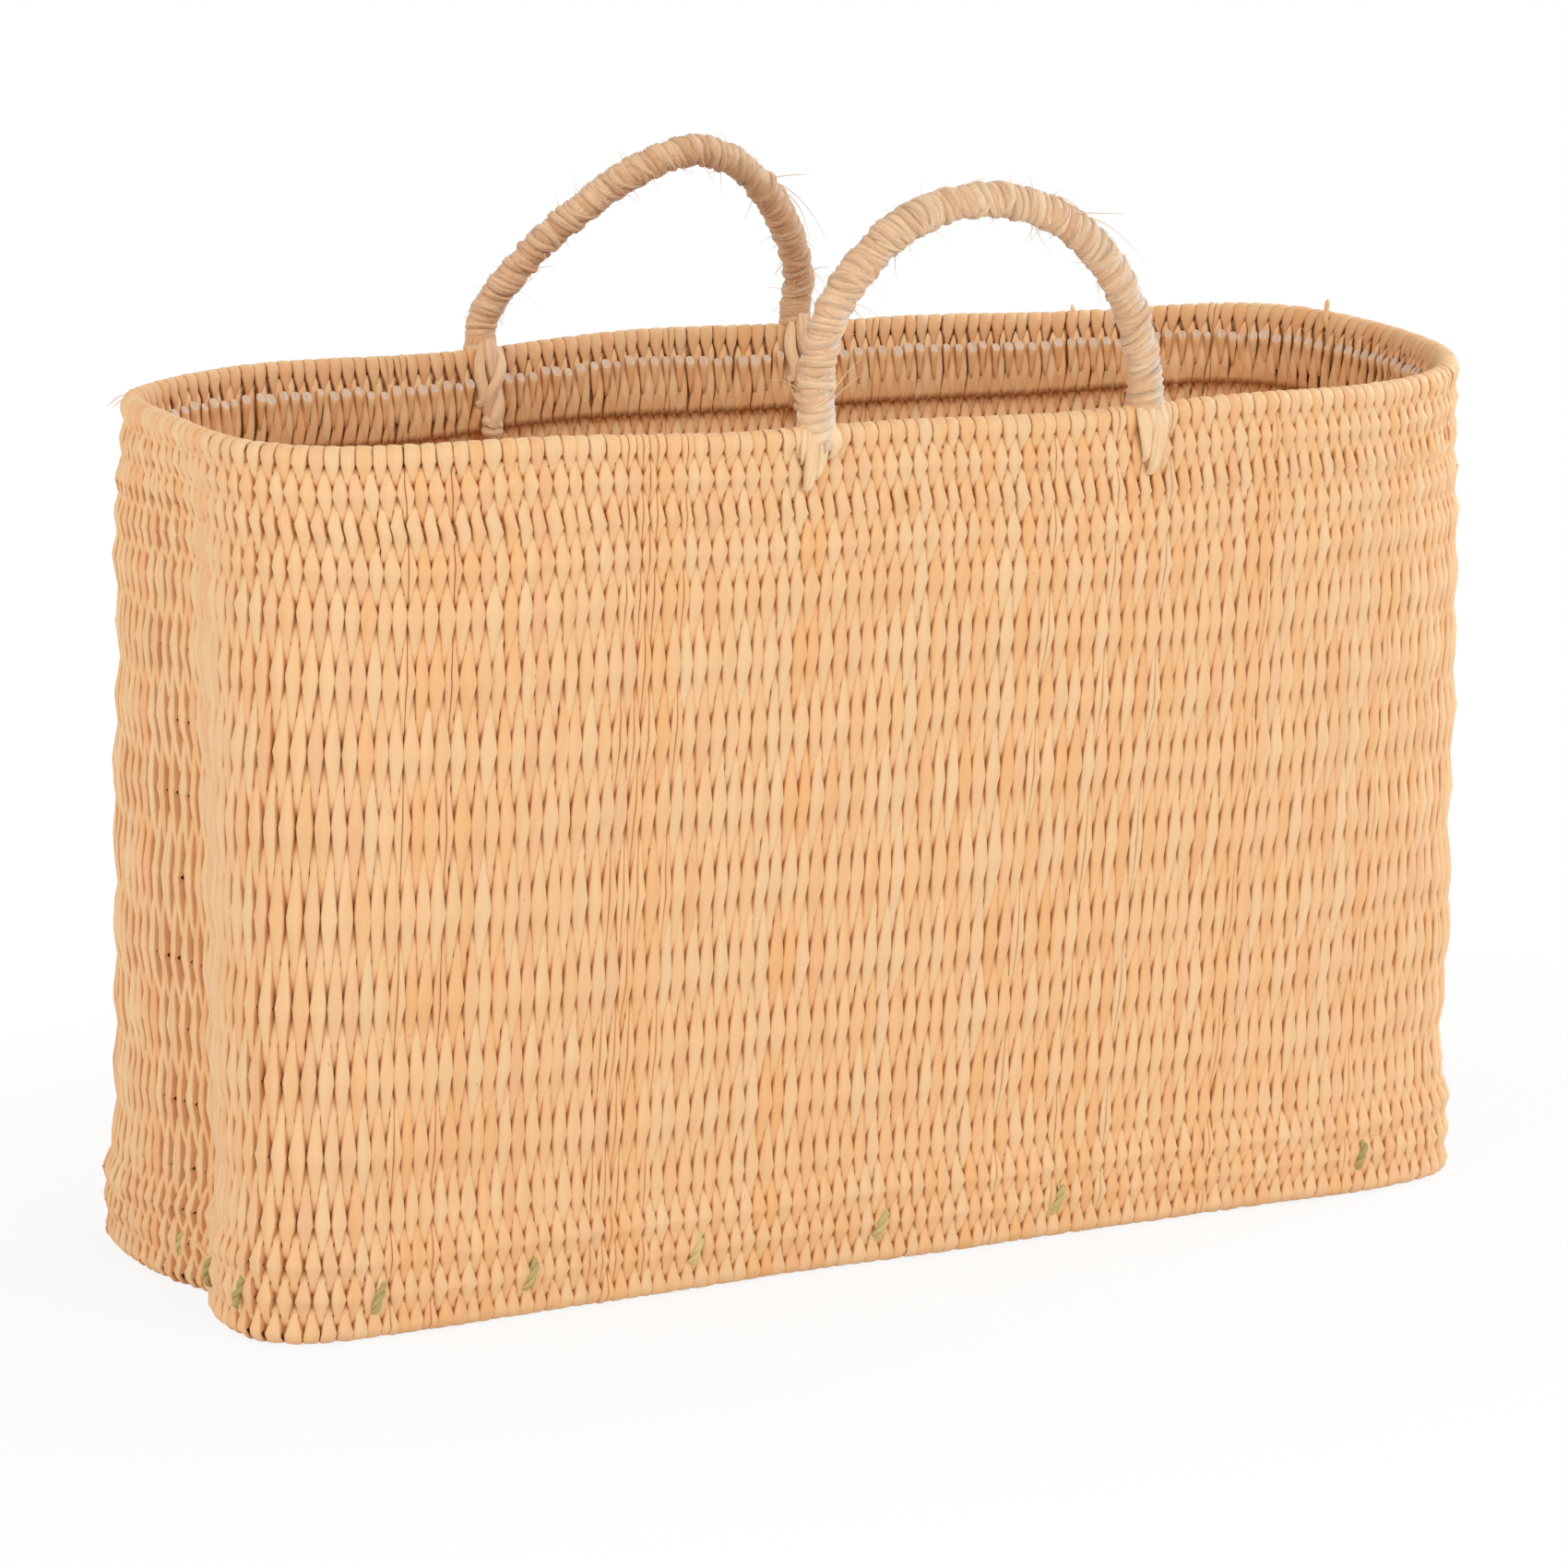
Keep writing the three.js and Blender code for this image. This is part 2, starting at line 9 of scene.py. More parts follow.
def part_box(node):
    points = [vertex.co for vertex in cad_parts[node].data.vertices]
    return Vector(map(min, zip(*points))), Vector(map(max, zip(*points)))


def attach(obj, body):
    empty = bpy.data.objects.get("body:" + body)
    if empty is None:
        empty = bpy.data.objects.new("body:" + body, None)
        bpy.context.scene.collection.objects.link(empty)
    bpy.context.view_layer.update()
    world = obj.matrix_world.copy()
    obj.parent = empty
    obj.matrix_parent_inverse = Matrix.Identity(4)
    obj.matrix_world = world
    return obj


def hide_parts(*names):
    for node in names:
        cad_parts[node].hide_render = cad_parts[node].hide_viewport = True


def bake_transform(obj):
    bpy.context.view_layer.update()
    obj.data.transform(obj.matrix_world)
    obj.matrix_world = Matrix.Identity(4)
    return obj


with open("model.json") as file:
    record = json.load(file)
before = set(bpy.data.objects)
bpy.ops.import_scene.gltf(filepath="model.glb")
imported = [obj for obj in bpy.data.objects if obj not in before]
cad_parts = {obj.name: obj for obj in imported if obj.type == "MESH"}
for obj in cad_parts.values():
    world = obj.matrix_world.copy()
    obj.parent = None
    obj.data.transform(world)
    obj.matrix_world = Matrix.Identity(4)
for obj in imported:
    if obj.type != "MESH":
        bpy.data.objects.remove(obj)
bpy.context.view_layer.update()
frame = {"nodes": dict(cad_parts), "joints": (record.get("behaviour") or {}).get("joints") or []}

# The camera stands where the photograph was taken from: to the left of the basket's long side and
# a little above it, far away behind a long lens.
view_azimuth = math.radians(-28.49)
view_elevation = math.radians(13.41)
view_roll = math.radians(1.10)
view_distance = 2.033
view_target = Vector((-0.00479, 0.01410, 0.1433))
focal_pixels = 6585
photo_pixels = 1700
sensor_width = 36

backward = Vector((
    math.sin(view_azimuth) * math.cos(view_elevation),
    -math.cos(view_azimuth) * math.cos(view_elevation),
    math.sin(view_elevation),
))
level_right = (-backward).cross(Vector((0, 0, 1))).normalized()
level_up = level_right.cross(-backward)
rolled_right = level_right * math.cos(view_roll) + level_up * math.sin(view_roll)
rolled_up = level_up * math.cos(view_roll) - level_right * math.sin(view_roll)
camera = bpy.data.objects.new("camera", bpy.data.cameras.new("camera"))
camera.data.sensor_width = sensor_width
camera.data.lens = sensor_width * focal_pixels / photo_pixels
camera.matrix_world = Matrix.Translation(view_target + backward * view_distance) @ Matrix((
    rolled_right, rolled_up, backward)).transposed().to_4x4()
bpy.context.collection.objects.link(camera)
bpy.context.scene.camera = camera

# The wall is a tall shell between two plans: the foot is a long rectangle with one tight corner,
# the rim an oval. It bows out half way up, a dent runs up its left end, its lowest rows flare, and
# its rows wander a little.
body_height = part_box("front_strips")[1].z
foot_half = np.array((0.224, 0.070))
rim_half = np.array((0.229, 0.095))
rim_shift = np.array((0.005, -0.0045))
wall_bow = 0.0018
foot_plan_shares = [
    (0, -0.98), (0.5, -0.99), (0.84, -1), (0.972, -0.89), (1.008, -0.62), (1.005, 0),
    (0.99, 0.6), (0.945, 0.88), (0.84, 0.99), (0.4, 1), (-0.2, 1), (-0.845, 1),
    (-0.955, 0.89), (-0.985, 0.62), (-0.98, 0.1), (-0.987, -0.62), (-0.972, -0.86), (-0.918, -0.98),
    (-0.79, -1), (-0.4, -0.98),
]
rim_plan_shares = [
    (0, -0.955), (0.3, -1), (0.66, -0.92), (0.86, -0.71), (0.975, -0.3), (1, 0.25),
    (0.93, 0.66), (0.72, 0.86), (0.3, 0.95), (-0.05, 1), (-0.45, 0.91), (-0.815, 0.77),
    (-0.975, 0.52), (-1, 0.05), (-0.96, -0.46), (-0.78, -0.75), (-0.4, -0.9),
]
plan_steps = 4096
span_steps = 60
run_reach = 4
dent_depth = 0.009
dent_turn = 0.759
dent_span = 0.016
dent_fade = 4
flare_out = 0.0025
flare_heights = (0.025, 0.041)

# Unevenness of the handwork: waves to a turn, radians to a metre of height, and the wave's start.
bulge_waves = ((7, 60, 0), (12, -90, 1))
rise_waves = ((5, 40, 0), (9, 25, 2))
bulge_out = 0.0004
rise_up = 0.0006
rise_heights = (0.01, 0.04)


def closed_plan(shares, half, shift):
    """A smooth closed curve through the shares, at even steps of its length, and its run there."""
    corners = np.array(shares) * half + shift
    pieces = []
    share = np.arange(span_steps)[:, None] / span_steps
    for i in range(len(corners)):
        a, b, c, d = (corners[(i + j) % len(corners)] for j in (-1, 0, 1, 2))
        ab, bc, cd = (np.linalg.norm(q - p) ** 0.5 for p, q in ((a, b), (b, c), (c, d)))
        leave = ((b - a) / ab - (c - a) / (ab + bc) + (c - b) / bc) * bc
        arrive = ((c - b) / bc - (d - b) / (bc + cd) + (d - c) / cd) * bc
        pieces.append(
            b + leave * share + (3 * (c - b) - 2 * leave - arrive) * share ** 2
            + (2 * (b - c) + leave + arrive) * share ** 3)
    points = np.concatenate(pieces + [corners[:1]])
    lengths = np.concatenate(([0], np.cumsum(np.linalg.norm(np.diff(points, axis=0), axis=1))))
    even = np.linspace(0, lengths[-1], plan_steps, endpoint=False)
    plan = np.stack([np.interp(even, lengths, points[:, i]) for i in (0, 1)], -1)
    run = np.roll(plan, -run_reach, 0) - np.roll(plan, run_reach, 0)
    return plan, run


def at_turn(table, turn):
    """A plan's table at shares of one turn round the basket."""
    place = (turn % 1) * plan_steps
    low = np.floor(place).astype(int)
    part = (place - low)[..., None]
    return table[low % plan_steps] * (1 - part) + table[(low + 1) % plan_steps] * part


def smooth_step(value, low, high):
    share = np.clip((value - low) / (high - low), 0, 1)
    return share * share * (3 - 2 * share)


foot_plan, foot_run = closed_plan(foot_plan_shares, foot_half, 0)
rim_plan, rim_run = closed_plan(rim_plan_shares, rim_half, rim_shift)
rim_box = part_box("hoop_01_rim")
rim_middle = np.array((rim_box[0] + rim_box[1])[:2]) / 2
frame_shift = rim_middle - (rim_plan.min(0) + rim_plan.max(0)) / 2


def waves(table, turn, height):
    return sum(np.sin(2 * np.pi * count * turn + climb * height + start)
               for count, climb, start in table)


def wall(turn, height, out, aside=0.0):
    """Points at a turn and height, so far out from the wall's middle and aside along it."""
    turn, height, out, aside = np.broadcast_arrays(turn, height, out, aside)
    level = np.clip(height / body_height, 0, 1)[..., None]
    middle = at_turn(foot_plan, turn) * (1 - level) + at_turn(rim_plan, turn) * level
    run = at_turn(foot_run, turn) * (1 - level) + at_turn(rim_run, turn) * level
    run = run / np.linalg.norm(run, axis=-1, keepdims=True)
    outward = np.stack([run[..., 1], -run[..., 0]], -1)
    dent = dent_depth * np.exp(-((turn - dent_turn) / dent_span) ** 2)
    dent = dent * (1 - level[..., 0] ** dent_fade)
    flare = flare_out * (1 - smooth_step(height, *flare_heights))
    bow = wall_bow * np.sin(np.pi * level[..., 0])
    out = out + flare + bow - dent + bulge_out * waves(bulge_waves, turn, height)
    rise = rise_up * waves(rise_waves, turn, height) * smooth_step(height, *rise_heights)
    flat = middle + frame_shift + outward * out[..., None] + run * aside[..., None]
    return np.concatenate([flat, (height + rise)[..., None]], -1)


# Hoops: sixteen rings of round reed that the wall is woven on, each bent round. The strips hide
# them, but for dark glimpses in the slits beside the rods.
hoop_names = sorted(name for name in frame["nodes"] if name.startswith("hoop_"))
hoop_boxes = [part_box(name) for name in hoop_names]
hoop_heights = [(low.z + high.z) / 2 for low, high in hoop_boxes]
rod_radius = 0.0022
hoop_steps = 220
rod_sides = 8
hoop_grain_step = 3.7
dull_depth = 0.0002

# Where a strand's faces lie in the map that its baked colours take, as shares of a column and of
# the map's height: the sides, then the ends above them.
map_margin = 0.04
map_foot, map_height = 0.01, 0.96
cap_reach, cap_middle, cap_rise = 0.3, 0.985, 0.008


def dye(red, green, blue):
    """A colour as the eye sees it, from 0 to 255, as the linear numbers that a shader takes."""
    shares = (value / 255 for value in (red, green, blue))
    linear = (v / 12.92 if v <= 0.04045 else ((v + 0.055) / 1.055) ** 2.4 for v in shares)
    return (*linear, 1.0)


class Dye:
    """A value in a material. Sums and products of it add the nodes that work them out."""

    def __init__(self, tree, socket=None):
        self.tree = tree
        self.socket = socket

    def node(self, kind, settings, inputs, output=0):
        made = self.tree.nodes.new("ShaderNode" + kind)
        for name, value in settings.items():
            setattr(made, name, value)
        for name, value in inputs.items():
            if isinstance(value, Dye):
                self.tree.links.new(value.socket, made.inputs[name])
            else:
                made.inputs[name].default_value = value
        return Dye(self.tree, made.outputs[output] if made.outputs else None)

    def maths(self, operation, first, second, clamp=False):
        return self.node(
            "Math", {"operation": operation, "use_clamp": clamp}, {0: first, 1: second})

    def __add__(self, other):
        return self.maths("ADD", self, other)

    def __sub__(self, other):
        return self.maths("SUBTRACT", self, other)

    def __rsub__(self, other):
        return self.maths("SUBTRACT", other, self)

    def __mul__(self, other):
        return self.maths("MULTIPLY", self, other)

    __radd__ = __add__
    __rmul__ = __mul__

    def ramp(self, low, high):
        """0 below low and 1 above high, smooth between them."""
        return self.node("MapRange", {"interpolation_type": "SMOOTHSTEP"},
                         {0: self, 1: low, 2: high, 3: 0.0, 4: 1.0})

    def mixed(self, first, second):
        """The first colour where this value is 0 and the second where it is 1."""
        return self.node("Mix", {"data_type": "RGBA"}, {0: self, 6: first, 7: second}, output=2)

    def shaded(self, color):
        """A colour made lighter or darker by this value."""
        return self.node("VectorMath", {"operation": "SCALE"}, {0: color, "Scale": self})


def new_material(name):
    material = bpy.data.materials.new(name)
    material.use_nodes = True
    material.node_tree.nodes.clear()
    return material, Dye(material.node_tree)


def fibre_noise(dyes, across, along, detail):
    """A noise of so many cells to a metre across a strand and along it, on each its own."""
    place = dyes.node("Attribute", {"attribute_name": "fibre_place"}, {}, output=1)
    cells = dyes.node("VectorMath", {"operation": "MULTIPLY"}, {0: place, 1: (across, along, 1.0)})
    return dyes.node("TexNoise", {}, {"Vector": cells, "Scale": 1.0, "Detail": detail})


def strand_tones(dyes, count):
    """The first so many of the tones that a strand carries: its own tone, then a blush or a painted
    highlight, then how free it is of painted shade.
    """
    tones = dyes.node("Attribute", {"attribute_name": "fibre_tone"}, {}, output=1)
    return [dyes.node("SeparateXYZ", {}, {0: tones}, output=i) for i in range(count)]


def finish_material(dyes, color, roughness, relief, depth, sheen=0.0):
    """Joins a colour, a roughness and a relief of so many metres into the surface."""
    bump = dyes.node("Bump", {}, {"Strength": 1.0, "Distance": depth, "Height": relief})
    surface = dyes.node("BsdfPrincipled", {}, {
        "Base Color": color, "Roughness": roughness, "Normal": bump,
        "Specular IOR Level": 0.35, "Sheen Weight": sheen, "Sheen Roughness": 0.5})
    dyes.node("OutputMaterial", {}, {"Surface": surface})


def dull_finish(name, cells, detail, spread, first, second, roughness):
    """A dull surface in two tones that its grain mixes."""
    material, dyes = new_material(name)
    grain = fibre_noise(dyes, *cells, detail)
    finish_material(dyes, grain.ramp(*spread).mixed(first, second), roughness, grain, dull_depth)
    return material


def lay_strands(name, rings, materials, places, tones, caps=(0, 0), closed=False):
    """One mesh of strands. rings is strands by rings by points of a section, which turn from across
    to through with the strand's run ahead. Each strand is closed on itself or capped. places and
    tones say where a point lies on its strand and how it is coloured, and caps are the materials of
    the first and the last ends."""
    strands, steps, sides, _ = rings.shape
    spans = steps if closed else steps - 1
    ring = np.arange(spans)[None, :, None]
    side = np.arange(sides)[None, None, :]
    base = (np.arange(strands) * steps * sides)[:, None, None]
    here = base + ring * sides
    onward = base + (ring + 1) % steps * sides
    after = (side + 1) % sides
    quads = np.stack([here + side, here + after, onward + after, onward + side], -1).reshape(-1, 4)
    corners = [quads.ravel()]
    counts = [np.full(len(quads), 4)]
    looks = [np.zeros(len(quads), int)]
    u = np.stack([side, side + 1, side + 1, side], -1) / sides
    v = np.stack([ring, ring, ring + 1, ring + 1], -1) / steps
    column = np.arange(strands)[:, None, None, None] + map_margin
    maps = [stacked((column + (1 - 2 * map_margin) * u) / strands, map_foot + map_height * v)
            .reshape(-1, 2)]
    if not closed:
        for offset, order, look in ((0, -1, caps[0]), ((steps - 1) * sides, 1, caps[1])):
            faces = base[:, 0] + offset + np.arange(sides)[::order]
            corners.append(faces.ravel())
            counts.append(np.full(strands, sides))
            looks.append(np.full(strands, look))
            angle = np.arange(sides) * 2 * np.pi / sides
            middle = (np.arange(strands)[:, None] + 0.5 + cap_reach * np.cos(angle)) / strands
            maps.append(stacked(middle, cap_middle + cap_rise * np.sin(angle)).reshape(-1, 2))
    corners, counts, looks = map(np.concatenate, (corners, counts, looks))
    mesh = bpy.data.meshes.new(name)
    mesh.vertices.add(rings.size // 3)
    mesh.vertices.foreach_set("co", rings.astype(np.float32).ravel())
    mesh.loops.add(len(corners))
    mesh.loops.foreach_set("vertex_index", corners.astype(np.int32))
    mesh.polygons.add(len(counts))
    mesh.polygons.foreach_set("loop_start", (np.cumsum(counts) - counts).astype(np.int32))
    mesh.polygons.foreach_set("material_index", looks.astype(np.int32))
    mesh.update(calc_edges=True)
    mesh.polygons.foreach_set("use_smooth", np.arange(len(counts)) < len(quads))
    uv = mesh.uv_layers.new(name="OFBake")
    uv.data.foreach_set("uv", np.concatenate(maps).astype(np.float32).ravel())
    for title, values in (("fibre_place", places), ("fibre_tone", tones)):
        attribute = mesh.attributes.new(title, "FLOAT_VECTOR", "POINT")
        spread = np.broadcast_to(values, rings.shape)
        attribute.data.foreach_set("vector", spread.astype(np.float32).ravel())
    for material in materials:
        mesh.materials.append(material)
    piece = bpy.data.objects.new(name, mesh)
    bpy.context.collection.objects.link(piece)
    return piece


def round_section(sides, square=2.0):
    """Points of a section, 1 wide and 1 thick to each side: round, or squarer past 2."""
    angle = 2 * np.pi * np.arange(sides) / sides
    power = 2 / square
    across = np.sign(np.cos(angle)) * np.abs(np.cos(angle)) ** power
    through = np.sign(np.sin(angle)) * np.abs(np.sin(angle)) ** power
    return across, through


def stacked(*values):
    return np.stack(np.broadcast_arrays(*values), -1)


rod_material = dull_finish(
    "reed_rod", (700.0, 40.0), 3.0, (0.3, 0.7), dye(176, 118, 66), dye(214, 160, 102), 0.65)

for number, (name, height) in enumerate(zip(hoop_names, hoop_heights)):
    turns = np.arange(hoop_steps)[None, :, None] / hoop_steps
    upward, outward = round_section(rod_sides)
    rings = wall(turns, height, rod_radius * outward)
    rings[..., 2] += rod_radius * upward
    places = stacked(upward * rod_radius, turns, number * hoop_grain_step)
    hoop = lay_strands(f"reed_{name}", rings, [rod_material], places, (0, 0, 0), closed=True)
    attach(hoop, "basket")
    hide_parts(name)


# Wall strips: 464 split-reed strips, upright, over one hoop and under the next. They are widest on
# the rods and draw in where they cross. Every second one goes over the rim hoop and down inside,
# where it is cut off two rows below; those between end under the rim. At the foot they swap roles.
strip_count = 464
rod_pull = 0.0033
rod_width = 0.0054
crossing_width = 0.0026
rod_thickness = 0.0016

# A strip on its way from a rod that it passes outside to the next, which it passes inside: shares
# of the way, and how far out its outer face lies there. Its inner face is the same seen backwards.
row_shares = (0.0, 0.1, 0.3, 0.5, 0.7, 0.9)
row_faces = (0.0041, 0.0039, 0.0034, 0.0028, 0.0022, 0.0008)

# A strip's section, from one edge over its outer face to the other: shares of its half width, and
# how far its face falls away there.
face_shares = (-1.0, -0.78, 0.0, 0.78, 1.0)
face_falls = (0.0008, 0.00014, 0.0, 0.00014, 0.0008)
edge_jitter = 0.00032
split_strip_share = 0.06
panels = {
    "front_strips": (-0.117, 0.117),
    "right_end_strips": (0.117, 0.383),
    "back_strips": (0.383, 0.617),
    "left_end_strips": (0.617, 0.883),
}
first_strip_seed = 100
rim_z, second_z, third_z = hoop_heights[:3]
foot_z = hoop_heights[-1]

# Ends of a strip: out, height over a hoop, width and thickness, in millimetres. The tail is cut on
# a slant, so that its inner face ends higher. Strips inside the rim lean more the further in they
# lie. The angle of a turn over the rim or under the foot is counted from the outside.
tail_over_third = [
    (-5.4, -2.4, 4.7, 1.5), (-5.5, 0.2, 4.1, 1.5), (-5.6, 3.2, 3.1, 1.4), (-5.5, 6.0, 2.0, 1.3),
    (-5.2, 8.8, 1.1, 1.2), (-4.8, 12.0, 0.9, 1.1), (-4.7, 15.0, 0.9, 1.1), (-4.6, 16.8, 1.5, 1.2),
    (-4.4, 18.4, 2.6, 1.3), (-4.1, 20.0, 3.8, 1.5),
]
tail_cut_rise = 0.0022
inner_lean = 0.52
# Painted shade inside the rim: the tail and the turns over the rim are painted part way to the
# darker crevice colour. The lower this share, the darker they are.
inner_painted_shade_lightness = 0.3
rim_turns = (165, 125, 90, 55, 20)
roll_radius = 0.0032
rim_roll_width = 0.0049
end_under_rim = [(-2.6, 8.4, 1.6, 1.4)]
foot_turns = (-20, -60, -100, -140, -175)
end_inside_foot = [(-3.6, 4.0, 3.6, 1.5), (-3.9, 7.0, 3.0, 1.4)]
end_over_foot = [(-3.1, -2.6, 4.6, 1.5), (-1.0, -3.3, 4.9, 1.5)]

# How much of a strip's own extra width shows at its ends, where 1 is all of it.
tail_near, under_rim_near, foot_near = 0.6, 0.3, 0.5
under_rim_share = 0.25


def face_out(share):
    """How far out a strip's outer face lies at a share of its way from one rod to the next."""
    return np.interp(share, row_shares + (1.0,), row_faces + (rod_thickness / 2 - rod_pull,))


def end_rings(ends, height, near):
    return [(out / 1000, height + up / 1000, width / 1000, thickness / 1000, near, 0)
            for out, up, width, thickness in ends]


def rolled_rings(angles, height, width):
    """Rings of a strip that rolls round the rim or the foot."""
    return [(roll_radius * np.cos(angle), height + roll_radius * np.sin(angle), width,
             rod_thickness, 1.0, 0) for angle in np.radians(angles)]


def strip_path(goes_over):
    """Rings of one strip from its upper end down: out, height, width, thickness, how near it is to
    lying over a rod, 1 on the rod and 0 where it crosses the others, and 1 if the ring is level."""
    if goes_over:
        rings = end_rings(tail_over_third, third_z, tail_near)
        rings += rolled_rings(rim_turns, rim_z, rim_roll_width)
    else:
        rings = end_rings(end_under_rim, second_z, under_rim_near)
    side = 1 if goes_over else -1
    for row, height in enumerate(hoop_heights[:-1]):
        drop = hoop_heights[row + 1] - height
        for share in row_shares:
            if row == 0 and (share == 0 or not goes_over and share < under_rim_share):
                continue
            near = abs(1 - 2 * share)
            face, back = face_out(share), face_out(1 - share)
            rings.append((
                side * (face - back) / 2, height + drop * share,
                crossing_width + (rod_width - crossing_width) * near, face + back, near, 1))
        side = -side
    rings.append((side * rod_pull, foot_z, rod_width, rod_thickness, 1.0, 1))
    if side > 0:
        rings += rolled_rings(foot_turns, foot_z, rod_width)
    rings += end_rings(end_inside_foot if side > 0 else end_over_foot, foot_z, foot_near)
    return np.array(rings).T


# The lean of the weave: how far, in millimetres, strips stand aside at these heights. They lean
# from the rim to the fourth row. On the third row each strip is also skewed.
lean_heights = (0.0, 0.100, 0.200, 0.243, 0.253, 0.265, 0.276, 0.285)
lean_asides = (3.3, 3.2, 3.4, 3.5, 3.0, 1.7, 0.5, 0.0)
lean_change, lean_waves = 0.25, 3
skew_reach = 0.010
skew_slope = 0.75

# How unevenly strips lie: aside, tilted as a whole and ring by ring, and pushed in or out. A strip
# takes up most of the room that its neighbours leave, and a few are blushed.
sway_spread, sway_evening = 0.00011, 1.7
strip_tilt, ring_tilt = 0.05, 0.04
push_spread = 0.00012
room_taken = 0.95
blush_from, blush_least = 0.86, 0.4
split_half = 0.49
fall_most = 0.4


def strip_rings(numbers, goes_over, chance):
    """Section points of the strips with these numbers, and their places and tones."""
    out, height, width, thickness, near, level = strip_path(goes_over)
    count = len(numbers)
    edges = chance.normal(0, 1, strip_count + 4).clip(-2, 2) * edge_jitter
    low, high = edges[numbers], edges[numbers + 2]
    centre = (low + high) / 2
    wide = 1 + (high - low) / rod_width * room_taken
    turn = (numbers + 0.5) / strip_count
    lean = np.interp(height, lean_heights, lean_asides) / 1000
    outer = smooth_step(np.arange(len(height)), len(tail_over_third), len(tail_over_third) + 4)
    if goes_over:
        lean = lean * outer + inner_lean * (1 - outer) * np.maximum(-out, 0)
    each_ring = (count, len(height))
    sway = chance.normal(0, sway_spread, each_ring)
    sway = (sway + np.roll(sway, 1, 1) + np.roll(sway, 2, 1)) / sway_evening
    leaning = 1 - lean_change * (1 - np.sin(2 * np.pi * lean_waves * turn))
    aside = centre[:, None] + sway + lean * leaning[:, None]
    tilt = chance.normal(0, strip_tilt, (count, 1)) + chance.normal(0, ring_tilt, each_ring)
    push = chance.normal(0, push_spread, each_ring)
    width = width * (1 + (wide[:, None] - 1) * near)
    split = np.flatnonzero(chance.uniform(0, 1, count) < split_strip_share)
    pick = np.concatenate([np.arange(count), split])
    part = np.zeros((len(pick), 1, 1))
    part[split] = -0.5
    part[count:] = 0.5
    width, aside, tilt, push, turn = (table[pick] for table in (width, aside, tilt, push, turn))
    climb = np.gradient(height)
    reach = np.gradient(out) * (1 - level)
    length = np.hypot(climb, reach)
    through_out, through_up = -climb / length, reach / length
    across = np.array(face_shares[::-1] + face_shares)
    fall = np.minimum(np.array(face_falls[::-1] + face_falls), thickness[:, None] * fall_most)
    half_across = width[..., None] / 2 * (np.where(part, split_half, 1) * across + part)
    half_through = np.repeat((1, -1), len(face_shares)) * (thickness[:, None] / 2 - fall)
    spread = half_across * np.cos(tilt)[..., None]
    depth = half_through + half_across * np.sin(tilt)[..., None]
    skew = skew_slope * (1 - smooth_step(abs(height - third_z), 0, skew_reach)) * level
    rings = wall(
        turn[:, None, None],
        height[:, None] + depth * through_up[:, None] - skew[:, None] * spread,
        (out + push)[..., None] + depth * through_out[:, None],
        aside[..., None] + spread)
    along = np.concatenate(([0], np.cumsum(np.hypot(np.diff(height), np.diff(out)))))
    own = chance.uniform(0, 50, count)[pick]
    places = stacked(half_across, along[:, None], own[:, None, None])
    light = chance.normal(0, 1, count)[pick]
    blushed = chance.uniform(0, 1, count) > blush_from
    blush = (blushed * chance.uniform(blush_least, 1, count))[pick]
    # Painted shade: the third tone is 0 on each strip's edges and lower on the tail and the turns
    # inside the rim. There the finish paints its crevice colour.
    face = inner_painted_shade_lightness + (1 - inner_painted_shade_lightness) * outer if goes_over else np.ones(len(near))
    tones = stacked(light[:, None, None], blush[:, None, None], (abs(across) < 1) * face[:, None])
    return rings, places, tones


def reed_finish(name, pale, deep, blush, painted_crevice_shade):
    """Split reed: satin, with fine straight grain, each strip in its own tone, and painted shade on
    its edges.
    """
    material, dyes = new_material(name)
    light, blushed, facing = strand_tones(dyes, 3)
    grain = fibre_noise(dyes, 2600.0, 45.0, 3.0)
    cloud = fibre_noise(dyes, 250.0, 28.0, 2.0)
    fleck = fibre_noise(dyes, 900.0, 260.0, 1.0).ramp(0.78, 0.82)
    warmth = (light * 0.16 + (cloud - 0.5) * 0.9 + 0.45).ramp(0.0, 1.0)
    shade = grain * 0.12 + light * 0.018 + 0.94
    # Painted shade: where the third tone is low, as on a strip's edges, the darker crevice colour
    # is mixed in. It stands in for the shade between strips.
    edge = 1 - facing.ramp(0.0, 0.7)
    color = shade.shaded((blushed * 0.3).mixed(warmth.mixed(pale, deep), blush))
    color = (edge * 0.5).mixed(color, painted_crevice_shade)
    color = (fleck * 0.35).mixed(color, fleck_brown)
    finish_material(dyes, color, grain * 0.18 + 0.46, grain * 0.5 + cloud, reed_depth)
    return material


reed_depth = 0.00012
fleck_brown = dye(150, 92, 50)
# The last colour of each reed finish is painted shade, mixed in on strip edges and in the dips of
# the mat.
strip_material = reed_finish(
    "reed_strip", dye(246, 208, 160), dye(236, 182, 126), dye(234, 168, 126), dye(186, 116, 62))
pith_material = dull_finish(
    "cut_pith", (3000.0, 3000.0), 2.0, (0.35, 0.75), dye(230, 206, 184), dye(204, 170, 144), 0.8)
dark_end_material = dull_finish(
    "cut_dark", (2500.0, 2500.0), 2.0, (0.3, 0.7), dye(216, 164, 130), dye(240, 194, 158), 0.8)

strip_turns = (np.arange(strip_count) + 0.5) / strip_count
for seed, (panel, (first, last)) in enumerate(panels.items(), first_strip_seed):
    chance = np.random.default_rng(seed)
    numbers = np.flatnonzero((strip_turns - first) % 1 < last - first)
    for goes_over in (True, False):
        chosen = numbers[numbers % 2 == (0 if goes_over else 1)]
        rings, places, tones = strip_rings(chosen, goes_over, chance)
        if goes_over:
            rings[:, 0, len(face_shares):, 2] += tail_cut_rise
        strips = lay_strands(
            f"{panel}_{'over' if goes_over else 'under'}_rim", rings,
            [strip_material, dark_end_material, pith_material], places, tones,
            caps=(1, 0) if goes_over else (2, 0))
        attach(strips, "basket")
        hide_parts(panel)


